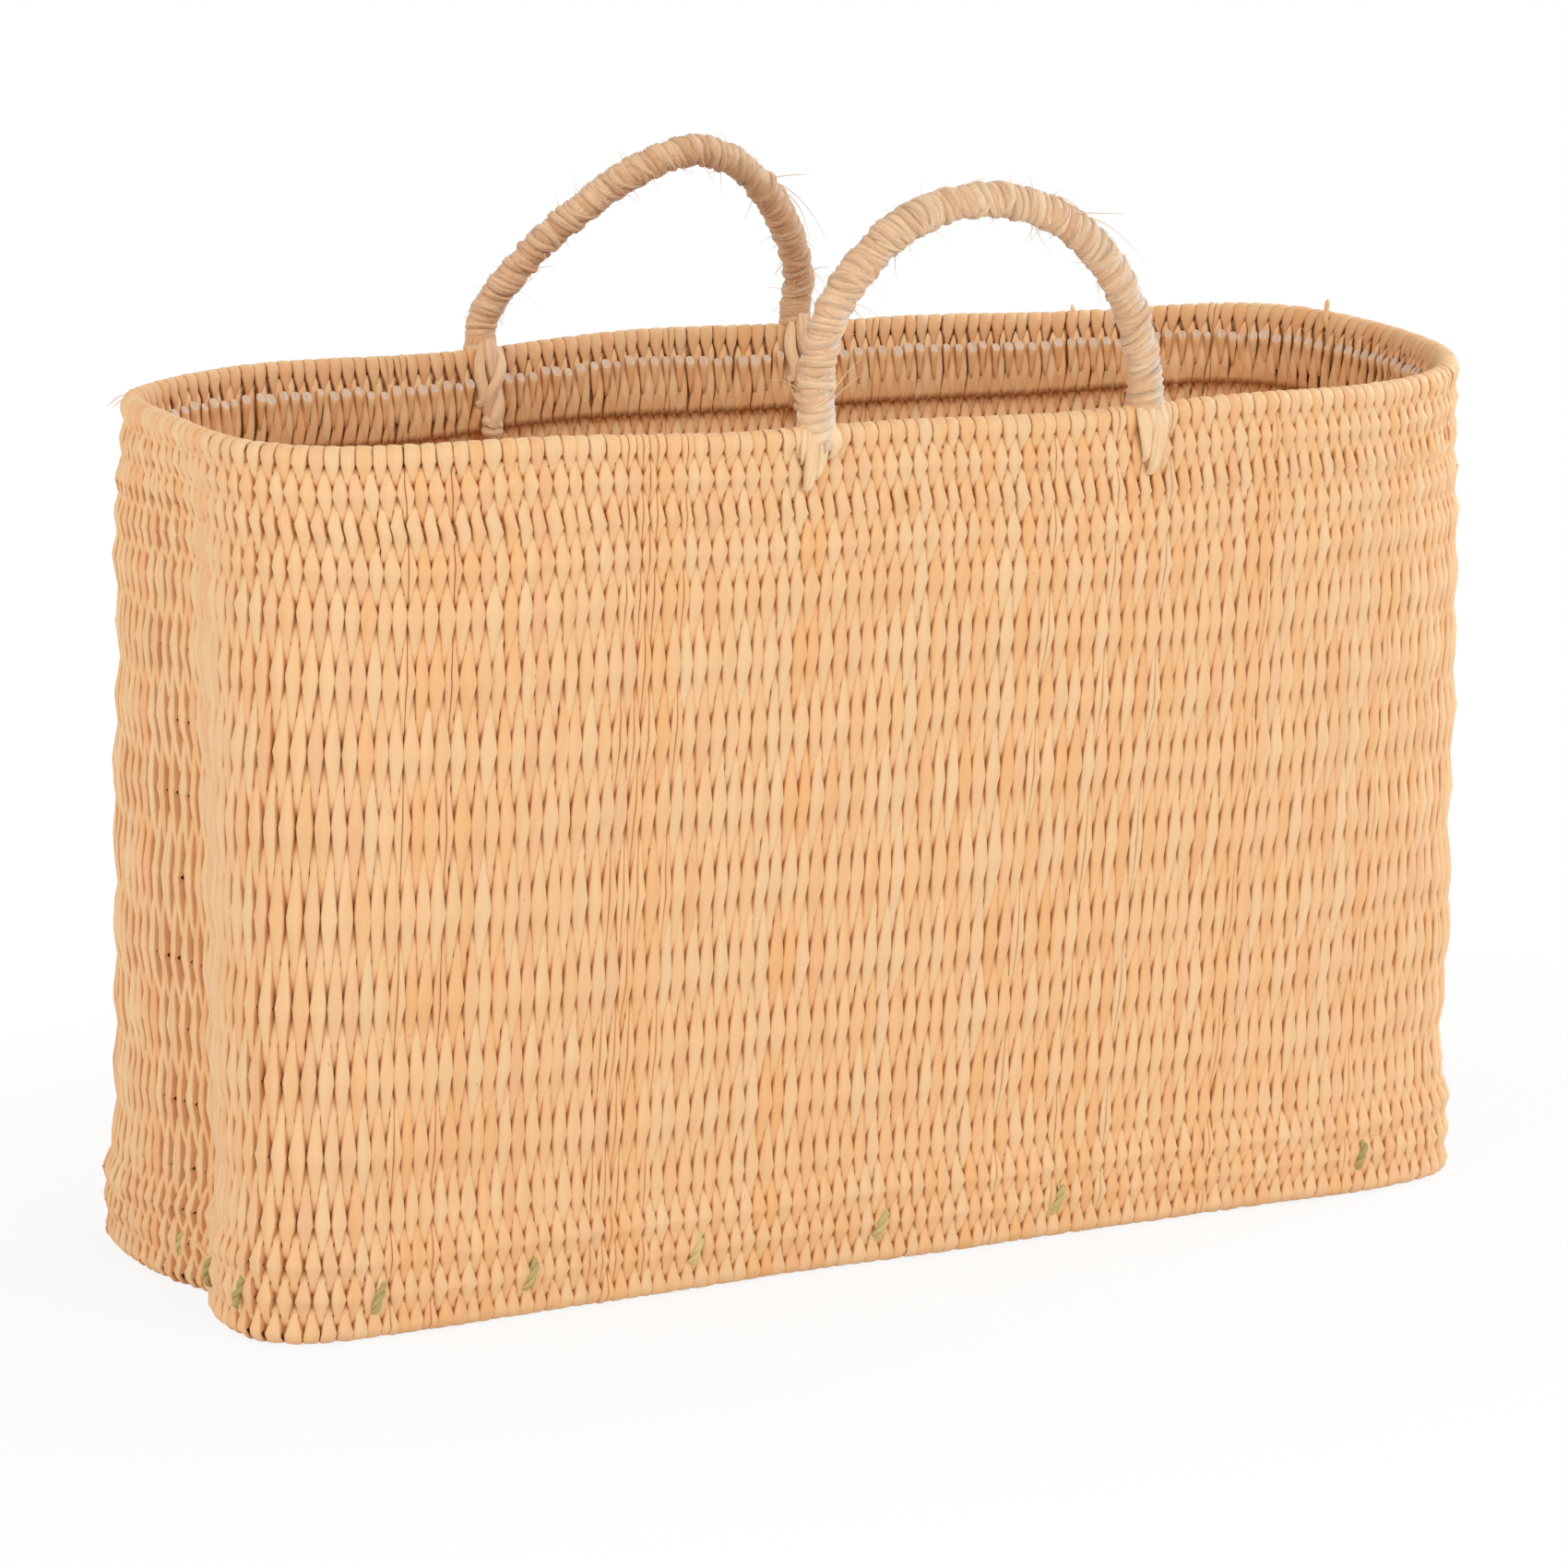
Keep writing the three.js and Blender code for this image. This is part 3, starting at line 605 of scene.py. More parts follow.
# Rim pegs and liners: inside, under each strip that goes over the rim, the thick end of a reed is
# laid in, cut off square so that its white pith shows. Between them the other strips' ends lie flat
# on the inside for two rows. A few pegs are missing. Sizes are in millimetres, heights over the
# rim hoop.
peg_rings = [
    (-6.0, -17.5, 0.8, 0.7), (-6.4, -14, 1.7, 1.2), (-6.6, -10, 2.6, 1.7), (-6.8, -6.4, 3.3, 2.1),
]
liner_rings = [
    (-3.5, -1.8, 0.7, 0.8), (-4.2, -3.2, 1.9, 1.1), (-4.6, -4.8, 2.9, 1.2), (-4.8, -6.6, 3.1, 1.2),
    (-5.1, -8.8, 2.9, 1.2), (-5.5, -11.4, 3.2, 1.3), (-5.8, -14, 3.7, 1.4), (-5.9, -17, 3.6, 1.3),
    (-5.6, -20, 2.7, 1.2), (-5.0, -23, 1.7, 1.1), (-4.2, -25, 1.0, 1.0),
]
peg_cut_slant = 1.3
peg_missing_share = 0.03
peg_seed = 41
stem_across, stem_through = round_section(8, 2.3)
stem_size_spread, stem_sizes = 0.1, (0.75, 1.3)
stem_aside, stem_rise = 0.00035, 0.0005
stem_grain_step = 1.7
# Its last colour is painted shade for strand edges. The pegs and liners carry none of it.
stem_material = reed_finish(
    "reed_stem", dye(243, 200, 150), dye(226, 174, 120), dye(226, 162, 118), dye(180, 120, 74))


def short_strands(numbers, rings, chance):
    """Section points of short strands under the rim, one for each strip number, their places and
    tones, and how far in their last points lie. rings hold out, height, width and thickness."""
    out, up, width, thick = np.array(rings).T[:, None, :, None] / 1000
    each = (len(numbers), 1, 1)
    size = chance.normal(1, stem_size_spread, each).clip(*stem_sizes)
    aside = chance.normal(0, stem_aside, each) - inner_lean * out + width * size / 2 * stem_across
    raised = chance.normal(0, stem_rise, each)
    points = wall(((numbers + 0.5) / strip_count)[:, None, None], rim_z + up + raised,
                  out - thick * size / 2 * stem_through, aside)
    places = stacked(aside, up, numbers[:, None, None] * stem_grain_step)
    tones = stacked(chance.normal(0, 1, each), 0.0, 1.0)
    return points, places, tones, thick[0, -1, 0] * size[:, 0] * stem_through


chance = np.random.default_rng(peg_seed)
all_numbers = np.arange(strip_count)
peg_numbers = all_numbers[(all_numbers % 2 == 0) & (
    chance.uniform(0, 1, strip_count) > peg_missing_share)]
peg_points, places, tones, inward = short_strands(peg_numbers, peg_rings, chance)
peg_points[:, -1, :, 2] -= inward * peg_cut_slant / 2
pegs = lay_strands(
    "rim_pegs", peg_points, [stem_material, pith_material], places, tones, caps=(0, 1))
liner_points, places, tones, _ = short_strands(all_numbers[1::2], liner_rings, chance)
liners = lay_strands("rim_liners", liner_points, [strip_material], places, tones)
for piece in (pegs, liners):
    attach(piece, "basket")


# Splinters: a reed's end that stands up over the rim at the back right, a torn edge beside it, and
# the torn fibres of a strip at the left end. Each lies at a turn, through its own points: out from
# the wall's middle, height, aside, width and thickness, in millimetres.
splinters = [
    (0.2850, [(-3.2, 278.5, -1.8, 1.8, 1.1), (-3.8, 282, -0.9, 2.0, 1.3),
              (-3, 285.5, -0.2, 1.9, 1.3), (-2.5, 288.4, 0, 1.7, 1.2), (-2.4, 289.2, 0, 0.8, 0.6)]),
    (0.3718, [(-2.0, 282.0, 0, 2.6, 1.0), (-1.4, 284.2, 0, 2.5, 1.0), (-1.0, 285.6, 0, 1.8, 0.8),
              (-0.6, 286.6, 0.1, 0.8, 0.5), (-0.5, 287.3, 0.1, 0.2, 0.2)]),
    (0.7090, [(2.0, 283.4, 0, 1.6, 0.8), (4.0, 283.2, 0.2, 1.4, 0.6), (5.6, 282.2, 0.4, 1.0, 0.5),
              (7.0, 281.0, 0.6, 0.5, 0.4), (8.2, 279.8, 0.8, 0.2, 0.2)]),
    (0.7120, [(2.0, 282.6, 0, 1.4, 0.7), (3.8, 282.2, 0.1, 1.2, 0.5), (4.8, 281.4, 0.2, 0.8, 0.4),
              (5.6, 280.6, 0.3, 0.5, 0.3), (6.4, 279.8, 0.4, 0.2, 0.2)]),
]
splinter_steps = 14
splinter_tone = (0.4, 0.3, 1.0)
splinter_grain = (0.001, 0.01, 5.0)
ease_steps = 12


def eased_path(points, steps):
    """A smooth line through points, which may hold more than a place, at even steps."""
    points = np.array(points, float)
    padded = np.concatenate([2 * points[:1] - points[1:2], points, 2 * points[-1:] - points[-2:-1]])
    share = np.linspace(0, 1, ease_steps, endpoint=False)[:, None]
    pieces = []
    for a, b, c, d in zip(padded, padded[1:], padded[2:], padded[3:]):
        pieces.append(b + 0.5 * share * (c - a + share * (
            2 * a - 5 * b + 4 * c - d + share * (3 * (b - c) + d - a))))
    line = np.concatenate(pieces + [points[-1:]])
    lengths = np.concatenate(([0], np.cumsum(np.linalg.norm(np.diff(line[:, :3], axis=0), axis=1))))
    even = np.linspace(0, lengths[-1], steps)
    return np.stack([np.interp(even, lengths, column) for column in line.T], -1)


splinter_points = []
for turn, path in splinters:
    line = eased_path(path, splinter_steps) / 1000
    out, height, aside, width, thick = (line[:, i:i + 1] for i in range(5))
    splinter_points.append(wall(
        turn, height, out - thick / 2 * stem_through, aside + width / 2 * stem_across))
splinter_places = np.array(splinter_grain) * stacked(
    stem_across, np.linspace(0, 1, splinter_steps)[:, None],
    np.arange(len(splinters))[:, None, None])
splinter = lay_strands("rim_splinters", np.array(splinter_points), [strip_material],
                       splinter_places, splinter_tone)
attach(splinter, "basket")


# Base mat: the floor that the magazines stand on, split-reed strips laid across five rods in plain
# weave. Its edge butts against the wall all round.
mat_bottom, mat_top = (corner.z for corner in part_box("base_strips"))
mat_level = (mat_bottom + mat_top) / 2
mat_pitch = 0.0025
mat_inset = 0.0046
mat_end_gap = 0.0014
mat_strip_width = 0.0024
mat_strip_thickness = 0.0014
mat_shares = (0.0, 0.35, 0.65)
mat_widening, mat_flatness = 0.6, 0.7
mat_shift = 0.0002
mat_grain_step = 2.3
mat_seed = 52
base_rod_steps = 40
base_rod_sway, base_rod_waves, base_rod_start = 0.0004, 90, 300
base_rod_height = 0.9
rod_names = sorted(name for name in frame["nodes"] if name.startswith("base_rod_"))
rod_boxes = [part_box(name) for name in rod_names]
rod_lines = [(low.y + high.y) / 2 for low, high in rod_boxes]
rod_half = (rod_boxes[0][1].z - rod_boxes[0][0].z) / 2
mat_room = 0.0003
mat_pull = (mat_top - mat_bottom - mat_strip_thickness) / 2 - mat_room

for name, (low, high), line in zip(rod_names, rod_boxes, rod_lines):
    upward, sideways = round_section(rod_sides)
    reach = np.linspace(low.x, high.x, base_rod_steps)[:, None]
    sway = base_rod_sway * np.sin(reach * base_rod_waves + line * base_rod_start)
    rings = stacked(reach, line + sway + rod_half * sideways,
                    mat_level + rod_half * base_rod_height * upward)
    places = stacked(sideways * rod_half, reach, line)
    rod = lay_strands(f"reed_{name}", rings[None], [rod_material], places[None], (0, 0, 0))
    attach(rod, "basket")
    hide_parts(name)

all_turns = np.arange(plan_steps) / plan_steps
mat_edge = wall(all_turns, mat_level, -mat_inset)
left_end, right_end = mat_edge[:, 0].argmin(), mat_edge[:, 0].argmax()
mat_edge = np.roll(mat_edge, -left_end, axis=0)
half_way = (right_end - left_end) % plan_steps
mat_low, mat_high = mat_edge[0, 0] + mat_end_gap, mat_edge[half_way, 0] - mat_end_gap
mat_places = np.linspace(mat_low, mat_high, round((mat_high - mat_low) / mat_pitch) + 1)
edge_lines = []
for edge in (mat_edge[:half_way + 1], mat_edge[half_way:]):
    edge = edge[np.argsort(edge[:, 0])]
    edge_lines.append(np.interp(mat_places, edge[:, 0], edge[:, 1]))
front_line, back_line = np.minimum(*edge_lines), np.maximum(*edge_lines)
before_first, after_last = 2 * rod_lines[0] - rod_lines[1], 2 * rod_lines[-1] - rod_lines[-2]
knots = [before_first] + rod_lines + [after_last]
mat_steps = np.append([i + share for i in range(len(knots) - 1) for share in mat_shares],
                      len(knots) - 1.0)
mat_wave = np.cos(np.pi * mat_steps)[:, None]
mat_near = np.abs(mat_wave) ** mat_flatness * np.sign(mat_wave)
mat_numbers = np.arange(len(mat_places))[:, None, None]
chance = np.random.default_rng(mat_seed)
across, through = round_section(8, 3.2)
half_across = mat_strip_width * (1 + mat_widening * np.abs(mat_near)) / 2 * across
mat_x = mat_places[:, None, None] + chance.normal(0, mat_shift, mat_numbers.shape) + half_across
mat_y = np.clip(np.interp(mat_steps, np.arange(len(knots)), knots),
                front_line[:, None], back_line[:, None])[..., None]
mat_z = mat_level + np.where(mat_numbers % 2, 1, -1) * mat_pull * mat_near
mat_points = stacked(mat_x, mat_y, mat_z - mat_strip_thickness / 2 * through)
# Painted shade: the third tone falls to 0 where a mat strip dips between rods, and the finish
# paints its crevice colour there.
mat_tones = stacked(chance.normal(0, 1, mat_numbers.shape), 0.0, np.abs(mat_near))
mat = lay_strands(
    "base_mat", mat_points, [strip_material, pith_material],
    stacked(half_across, mat_y, mat_numbers * mat_grain_step), mat_tones, caps=(1, 1))
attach(mat, "basket")
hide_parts("base_strips")


# Lashing: a green two-ply palm cord that runs round the mat's edge and ties it to the second hoop
# from the floor. From outside only its short slanted ties show.
lash_reach, lash_ply = 0.00099, 0.000825
lash_twist = 2 * math.pi / 0.006
lash_ring_inset = 0.0109
lash_ring_up = 0.0166
lash_steps = 700
front_tie_turns = (0.8333, 0.8805, 0.9337, 0.9942, 0.054, 0.1603)
left_tie_turns = (0.748, 0.776, 0.7975)
hidden_tie_turns = (0.215, 0.262, 0.31, 0.36, 0.41, 0.46, 0.51, 0.56, 0.61, 0.66)
tied_z = hoop_heights[-2] - 0.0006
upright = np.array((0, 0, 1.0))

# One tie, from its start inside: out from the wall's middle, height over the second hoop from the
# floor, and aside, in millimetres, and how far each tie's points stray from that.
tie_path = [
    (-10.9, 1.8, -3.0), (-6.0, -4.6, -1.7), (0.0, -4.9, -1.3), (2.8, -4.0, -1.1), (3.7, -2.2, -0.7),
    (4.1, 0.0, 0.0), (3.7, 2.2, 0.7), (2.7, 3.9, 1.1), (0.0, 4.9, 1.3), (-6.0, 4.4, 1.7),
    (-10.9, 1.8, 3.0),
]
tie_stray = (0.12, 0.2, 0.24)
tie_steps = 44
tie_twist = 2 * math.pi / 0.013
tie_reach, tie_ply = 0.00069, 0.00092
tie_seed = 63


def frames_along(line, hint, closed=False):
    """The run of a line, the way across it that is nearest to the hint, and the way through it."""
    if closed:
        run = np.roll(line, -1, 0) - np.roll(line, 1, 0)
    else:
        run = np.gradient(line, axis=0)
    run = run / np.linalg.norm(run, axis=-1, keepdims=True)
    across = hint - run * (run * hint).sum(-1, keepdims=True)
    across = across / np.linalg.norm(across, axis=-1, keepdims=True)
    return run, across, np.cross(run, across)


def twisted_plies(line, hint, plies, reach, radius, twist, start=0.0, closed=False, sides=8):
    """Section points of strands that wind round a line, and their places."""
    _, across, through = frames_along(line, hint, closed)
    along = np.concatenate(([0], np.cumsum(np.linalg.norm(np.diff(line, axis=0), axis=1))))
    right, up = (shares[:, None] for shares in round_section(sides, 2.2))
    strands = []
    for ply in range(plies):
        phase = (start + along * twist + 2 * np.pi * ply / plies)[:, None]
        centre = line + reach * (across * np.cos(phase) + through * np.sin(phase))
        _, wide, deep = frames_along(centre, across, closed)
        strands.append(centre[:, None] + radius * (wide[:, None] * right + deep[:, None] * up))
    numbers = np.arange(plies)[:, None, None] * ply_grain_step
    return np.stack(strands), stacked(right[:, 0] * radius, along[:, None], numbers)


def fibre_finish(name, pale, deep, cells, depth, sheen):
    """Loose plant fibre: matte, lined with fine fibres along each strand, with a whitish painted
    highlight where the second tone calls for it.
    """
    material, dyes = new_material(name)
    light, painted_highlight = strand_tones(dyes, 2)
    fibres = fibre_noise(dyes, cells, 60.0, 3.0)
    coarse = fibre_noise(dyes, cells * 0.3, 90.0, 2.0)
    share = (light * 0.16 + fibres * 0.8 + coarse * 0.6 - 0.2).ramp(0.0, 1.0)
    # Painted highlight: the second tone mixes in a whitish grey that stands in for light on one
    # side.
    painted_highlight_share = (painted_highlight * (fibres * 0.5 + 0.7)).ramp(0.0, 1.0)
    color = painted_highlight_share.mixed(share.mixed(deep, pale), painted_highlight_color)
    finish_material(dyes, color, 0.72, fibres + coarse, depth, sheen)
    return material


ply_grain_step = 3.1
# A whitish grey, painted on as a highlight.
painted_highlight_color = dye(230, 218, 202)
cord_material = fibre_finish(
    "palm_cord", dye(222, 206, 146), dye(158, 142, 82), 2600.0, 0.00025, 0.1)

lash_line = wall(np.arange(lash_steps) / lash_steps, lash_ring_up, -lash_ring_inset)
rings, places = twisted_plies(
    lash_line, upright, 2, lash_reach, lash_ply, lash_twist, closed=True, sides=6)
lashing = lay_strands("lashing_ring", rings, [cord_material], places, (0, 0, 0), closed=True)
tie_rings = []
tie_tones = []
chance = np.random.default_rng(tie_seed)
for turn in front_tie_turns + left_tie_turns + hidden_tie_turns:
    stray = chance.normal(0, 1, (len(tie_path), 3)) * tie_stray
    out, up, aside = eased_path(np.array(tie_path) + stray, tie_steps).T / 1000
    rings, places = twisted_plies(
        wall(turn, tied_z + up, out, aside), upright, 2, tie_reach, tie_ply, tie_twist,
        start=chance.uniform(0, 6))
    tie_rings.append(rings)
    tie_tones += [chance.normal(0, 1)] * 2
ties = lay_strands("lashing_ties", np.concatenate(tie_rings), [cord_material],
                   places[:1] + (0, 0, 0.5), stacked(np.array(tie_tones)[:, None, None], 0.0, 1.0))
for piece in (lashing, ties):
    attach(piece, "basket")
    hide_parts("base_lashing")


# Handles: a three-strand rope bent to an arch and wound closely with flat bundles of pale fibre, a
# few of which cross the others. Stray fibres stand out. The winding runs down on to the rim.
# Each handle sets how strongly the painted highlight shows on the side that faces right.
handle_shapes = {
    "front_handle": {
        "joint": "front_handle_swing", "lean": 6.4, "skew": -0.0056, "power": 1.0,
        "turns": 70, "seed": 71, "size": 0.97, "swell": 0.26, "tone": 0.1, "painted_highlight": 0.62,
        "sway_at": (0.0, 0.15, 0.25, 0.35, 0.5, 0.65, 0.75, 0.85, 0.93, 1.0),
        "sway": (1.0, 0.0, 0.4, -0.6, -1.3, -2.0, -3.4, -4.2, -4.3, -3.2)},
    "back_handle": {
        "joint": "back_handle_swing", "lean": 22.0, "skew": 0.0075, "power": 1.22,
        "turns": 74, "seed": 72, "size": 0.87, "swell": 0.2, "tone": -0.35, "painted_highlight": 0.3,
        "sway_at": (0.0, 0.08, 0.15, 0.25, 0.35, 0.5, 0.62, 0.72, 0.8, 0.88, 0.94, 1.0),
        "sway": (-2.4, -2.5, -1.6, -0.5, -1.6, -3.0, -4.0, -5.4, -5.6, -4.4, -3.0, -2.4)},
}
foot_spacing = 0.121
arch_height = 0.062
arch_steps, arch_every = 900, 12
line_steps, core_every = 1400, 5
foot_drop, drop_steps = 0.0128, 40
bend_below, bend_above = 0.0045, 0.0065
core_strand_radius = 0.0017
core_strand_reach = 0.0018
core_twist = 2 * math.pi / 0.030
wrap_radius = 0.00465
wrap_half_width = 0.0021
wrap_half_thickness = 0.00095
wrap_shingle = 0.07
wrap_slant, slant_start = 0.0011, 0.6
wrap_turn_steps = 24
wrap_sides = 16
wrap_ridges, ridge_steps = 0.2, 9
fibre_slope = 0.45
fibre_depth = 0.004
swell_shares = (0.07, 0.93)

# Painted highlight: the windings are painted whitish grey on the side that faces this way, to the
# right, where light falls. Given are the way that side faces, and how squarely it must face it.
painted_highlight_way = np.array((0.88, -0.48, 0.0))
painted_highlight_from, painted_highlight_full = 0.2, 0.75

# Unevenness of the winding: how many changes there are along the handle, and their spread.
radius_changes = (18, 0.00016)
turn_radius_change = 0.0001
slant_changes, turn_slant_change = (16, 0.4), 0.3
width_change, tone_change = 0.15, 0.8

# Bundles that cross the winding: how many, where they start, and how far along and round they go.
cross_bundles = 46
cross_starts = (0.04, 0.9)
cross_spans = (0.02, 0.05)
cross_turns = 1.3
cross_rise, cross_sink = 0.0009, 0.0003
cross_slant = 0.002
cross_tone, cross_tone_spread = 0.4, 0.6

short_hairs = 300
short_hair_radius, long_hair_radius = 0.00016, 0.00027
hair_tone = (1.5, 0.0, 1.0)
hair_steps = 10
hair_droop = 0.3
hair_lean = 1.6
hair_stray = 0.4
hair_taper = 0.75
hair_root = 0.0004

# Long stray fibres: share of the way along the handle, angle round it, where 90 is inside the arch,
# reach in millimetres, lean along the handle and curl.
long_hairs = {
    "front_handle": [
        (0.66, -70, 21, 0.9, 0.30), (0.64, -50, 15, 0.8, -0.45), (0.60, -80, 12, 1.0, 0.5),
        (0.47, -85, 7, 0.6, 0.2), (0.22, 80, 6, -0.6, 0.7), (0.075, -100, 14, 0.7, -0.1),
        (0.06, -80, 15, 0.3, 0.9), (0.07, 80, 19, 0.8, 0.06), (0.055, 95, 17, 0.7, 0.12),
        (0.045, 100, 6, 0.2, 0.1), (0.94, -75, 7, -0.8, 0.1), (0.93, -80, 8, -0.9, -0.1),
        (0.86, -70, 5, 0.5, 0.3), (0.33, 75, 6, -0.8, 0.3),
    ],
    "back_handle": [
        (0.70, -80, 22, 0.9, 0.3), (0.68, -60, 14, 0.8, -0.4), (0.72, -70, 17, 1.0, 0.5),
        (0.13, -85, 6, 0.4, 0.2), (0.11, -90, 5, 0.2, -0.2), (0.9, -80, 8, -0.3, 0.3),
        (0.4, -80, 6, 0.7, 0.2),
    ],
}


def joint_of(shape):
    return next(joint for joint in frame["joints"] if joint["name"] == shape["joint"])


def arch_line(shape):
    """Points of a handle's middle line from its left foot over the top to its right foot, and the
    way square to the arch."""
    hinge, axis = (np.array(joint_of(shape)[key]) for key in ("pos_m", "axis"))
    lean = math.radians(shape["lean"])
    level = np.array((-axis[1], axis[0], 0.0))
    rise_way = math.cos(lean) * upright - math.sin(lean) * level
    half = foot_spacing / 2 / axis[0]
    t = np.linspace(0, 1, arch_steps)
    across = np.cos(np.pi * t)
    rise = np.sin(np.pi * t)
    x = -half * np.sign(across) * np.abs(across) ** shape["power"] + shape["skew"] * rise
    x = x + np.interp(t, shape["sway_at"], shape["sway"]) / 1000
    z = arch_height * rise ** shape["power"]
    line = hinge + x[:, None] * axis + z[:, None] * rise_way
    drop = np.linspace(foot_drop, 0, drop_steps, endpoint=False)[:, None] * upright
    line = np.concatenate([line[0] - drop, line, line[-1] - drop[::-1]])
    return eased_path(line[::arch_every], line_steps), np.cross(axis, rise_way)


def handle_bend(piece, shape):
    """Bakes a piece of a handle's placement into its points."""
    x, y, z = joint_of(shape)["pos_m"]
    z - bend_below
    z + bend_above
    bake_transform(piece)


def on_line(line, share):
    """A line's place, or its way, at shares of its length."""
    lengths = np.linspace(0, 1, len(line))
    return np.stack([np.interp(share, lengths, column) for column in line.T], -1)


def uneven(share, knots, spread, chance):
    """Smooth chance values along a strand, with so many changes."""
    return np.interp(share, np.linspace(0, 1, knots), chance.normal(0, spread, knots))


def wound(line, side, shares, angle, radius, half_width, slant, chance):
    """Section points of one bundle wound round a line, and their places. Each turn lies on the edge
    of the turn before."""
    run, side, _ = frames_along(line, side)
    middle, ahead, side = (on_line(table, shares) for table in (line, run, side))
    radial = side * np.cos(angle)[:, None] + np.cross(ahead, side) * np.sin(angle)[:, None]
    middle = middle + ahead * (slant * np.sin(angle - slant_start))[:, None]
    across, through = round_section(wrap_sides)
    knots = max(4, len(shares) // ridge_steps)
    ridges = np.stack([uneven(shares, knots, wrap_ridges, chance) for _ in range(wrap_sides)], -1)
    out = (radius[:, None] + wrap_half_thickness * (through + ridges)
           + wrap_shingle * half_width[:, None] * across)
    points = middle[:, None] + ahead[:, None] * (half_width[:, None] * across)[..., None]
    points = points + radial[:, None] * out[..., None]
    along = np.abs(angle - angle[0]) * wrap_radius
    turns = (angle - angle[0]) / (2 * np.pi)
    zigzag = np.abs((turns / 2) % 1 - 0.5) * 4 * np.pi * wrap_radius * fibre_slope
    sideways = wrap_half_width * across + zigzag[:, None] + fibre_depth * through
    return points, stacked(sideways, along[:, None], 0.0)


def hair_strands(line, side, size, hairs, radius, chance):
    """Section points of stray fibres that stand on a handle, thinning to their tips."""
    share, angle, reach, lean, curl = np.array(hairs).T
    run, side, _ = frames_along(line, side)
    middle, ahead, side = (on_line(table, share) for table in (line, run, side))
    angle = np.radians(angle)
    radial = side * np.cos(angle)[:, None] + np.cross(ahead, side) * np.sin(angle)[:, None]
    sideways = np.cross(ahead, radial)
    stray = chance.normal(0, hair_stray, (len(share), 1))
    way = radial + ahead * lean[:, None] * hair_lean + sideways * stray
    way = way / np.linalg.norm(way, axis=-1, keepdims=True)
    turned = np.cross(way, sideways)
    t = np.linspace(0, 1, hair_steps)[:, None]
    reach = reach[:, None, None] / 1000
    bent = turned[:, None] * curl[:, None, None] - hair_droop * upright
    centre = (middle + radial * (size + hair_root))[:, None]
    centre = centre + reach * (t * way[:, None] + t * t * bent)
    corner = np.arange(3)[:, None] * 2 * np.pi / 3
    section = (sideways[:, None, None] * np.cos(corner)
               + turned[:, None, None] * np.sin(corner))
    points = centre[:, :, None] + radius * (1 - hair_taper * t[..., None]) * section
    return points, stacked(0.0, t * reach, np.arange(len(share))[:, None, None])


rope_material = fibre_finish(
    "rope_core", dye(226, 192, 140), dye(180, 138, 92), 1500.0, 0.0003, 0.1)
wrap_material = fibre_finish(
    "fibre_wrap", dye(246, 215, 178), dye(222, 168, 120), 2400.0, 0.0005, 0.4)

for name, shape in handle_shapes.items():
    chance = np.random.default_rng(shape["seed"])
    line, aside = arch_line(shape)
    rings, places = twisted_plies(
        line[::core_every], aside, 3, core_strand_reach, core_strand_radius, core_twist)
    core = lay_strands(f"{name}_rope", rings, [rope_material], places, (0, 0, 0))
    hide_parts(f"{name}_core")

    turns = shape["turns"]
    shares = np.linspace(0, 1, turns * wrap_turn_steps + 1)
    foot = np.maximum(1 - smooth_step(shares, 0, swell_shares[0]),
                      smooth_step(shares, swell_shares[1], 1))
    size = wrap_radius * shape["size"]
    radius = size * (1 + shape["swell"] * foot) + uneven(shares, *radius_changes, chance)
    radius = radius + uneven(shares, turns * 2, turn_radius_change, chance)
    half_width = wrap_half_width * (1 + uneven(shares, turns * 3, width_change, chance))
    slant = wrap_slant * (1 + uneven(shares, *slant_changes, chance)
                          + uneven(shares, turns * 2, turn_slant_change, chance))
    angle = 2 * np.pi * shares * turns
    rings, places = wound(line, aside, shares, angle, radius, half_width, slant, chance)
    light = uneven(shares, turns * 3, tone_change, chance) + shape["tone"]
    # Painted highlight: turns of the winding that face the fixed way to the right are painted
    # whitish, as if lit.
    outward = rings.mean(axis=1) - on_line(line, shares)
    facing = outward @ painted_highlight_way / np.linalg.norm(outward, axis=1)
    painted_highlight = shape["painted_highlight"] * smooth_step(facing, painted_highlight_from, painted_highlight_full)
    wrap = lay_strands(f"{name}_winding", rings[None], [wrap_material], places[None],
                       stacked(light[None, :, None], painted_highlight[None, :, None], 1.0))
    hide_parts(f"{name}_wrap")

    rings, places, light = [], [], []
    steps = np.linspace(0, 1, int(cross_turns * wrap_turn_steps) + 1)
    fade = np.sin(np.pi * steps) ** 0.5
    radius = size + cross_rise * fade - cross_sink
    half_width = wrap_half_width * (0.25 + 0.5 * fade)
    for start in chance.uniform(*cross_starts, cross_bundles):
        shares = start + steps * chance.uniform(*cross_spans)
        angle = chance.uniform(0, 6) + 2 * np.pi * cross_turns * steps
        points, spots = wound(line, aside, shares, angle, radius, half_width,
                              chance.normal(0, cross_slant), chance)
        rings.append(points)
        places.append(spots)
        light.append(chance.normal(shape["tone"] + cross_tone, cross_tone_spread))
    crossing = lay_strands(f"{name}_crossings", np.array(rings), [wrap_material], np.array(places),
                           stacked(np.array(light)[:, None, None], 0.0, 1.0))

    hairs = np.stack([
        chance.uniform(0.02, 0.98, short_hairs), chance.uniform(-180, 180, short_hairs),
        chance.gamma(2.2, 1.1, short_hairs) + 0.8, chance.normal(0, 0.9, short_hairs),
        chance.normal(0, 0.7, short_hairs)], -1)
    hairs = [hair_strands(line, aside, size, hairs, short_hair_radius, chance),
             hair_strands(line, aside, size, long_hairs[name], long_hair_radius, chance)]
    rings, places = map(np.concatenate, zip(*hairs))
    hair = lay_strands(f"{name}_hairs", rings, [wrap_material], places, hair_tone)
    for piece in (core, wrap, crossing, hair):
        handle_bend(piece, shape)


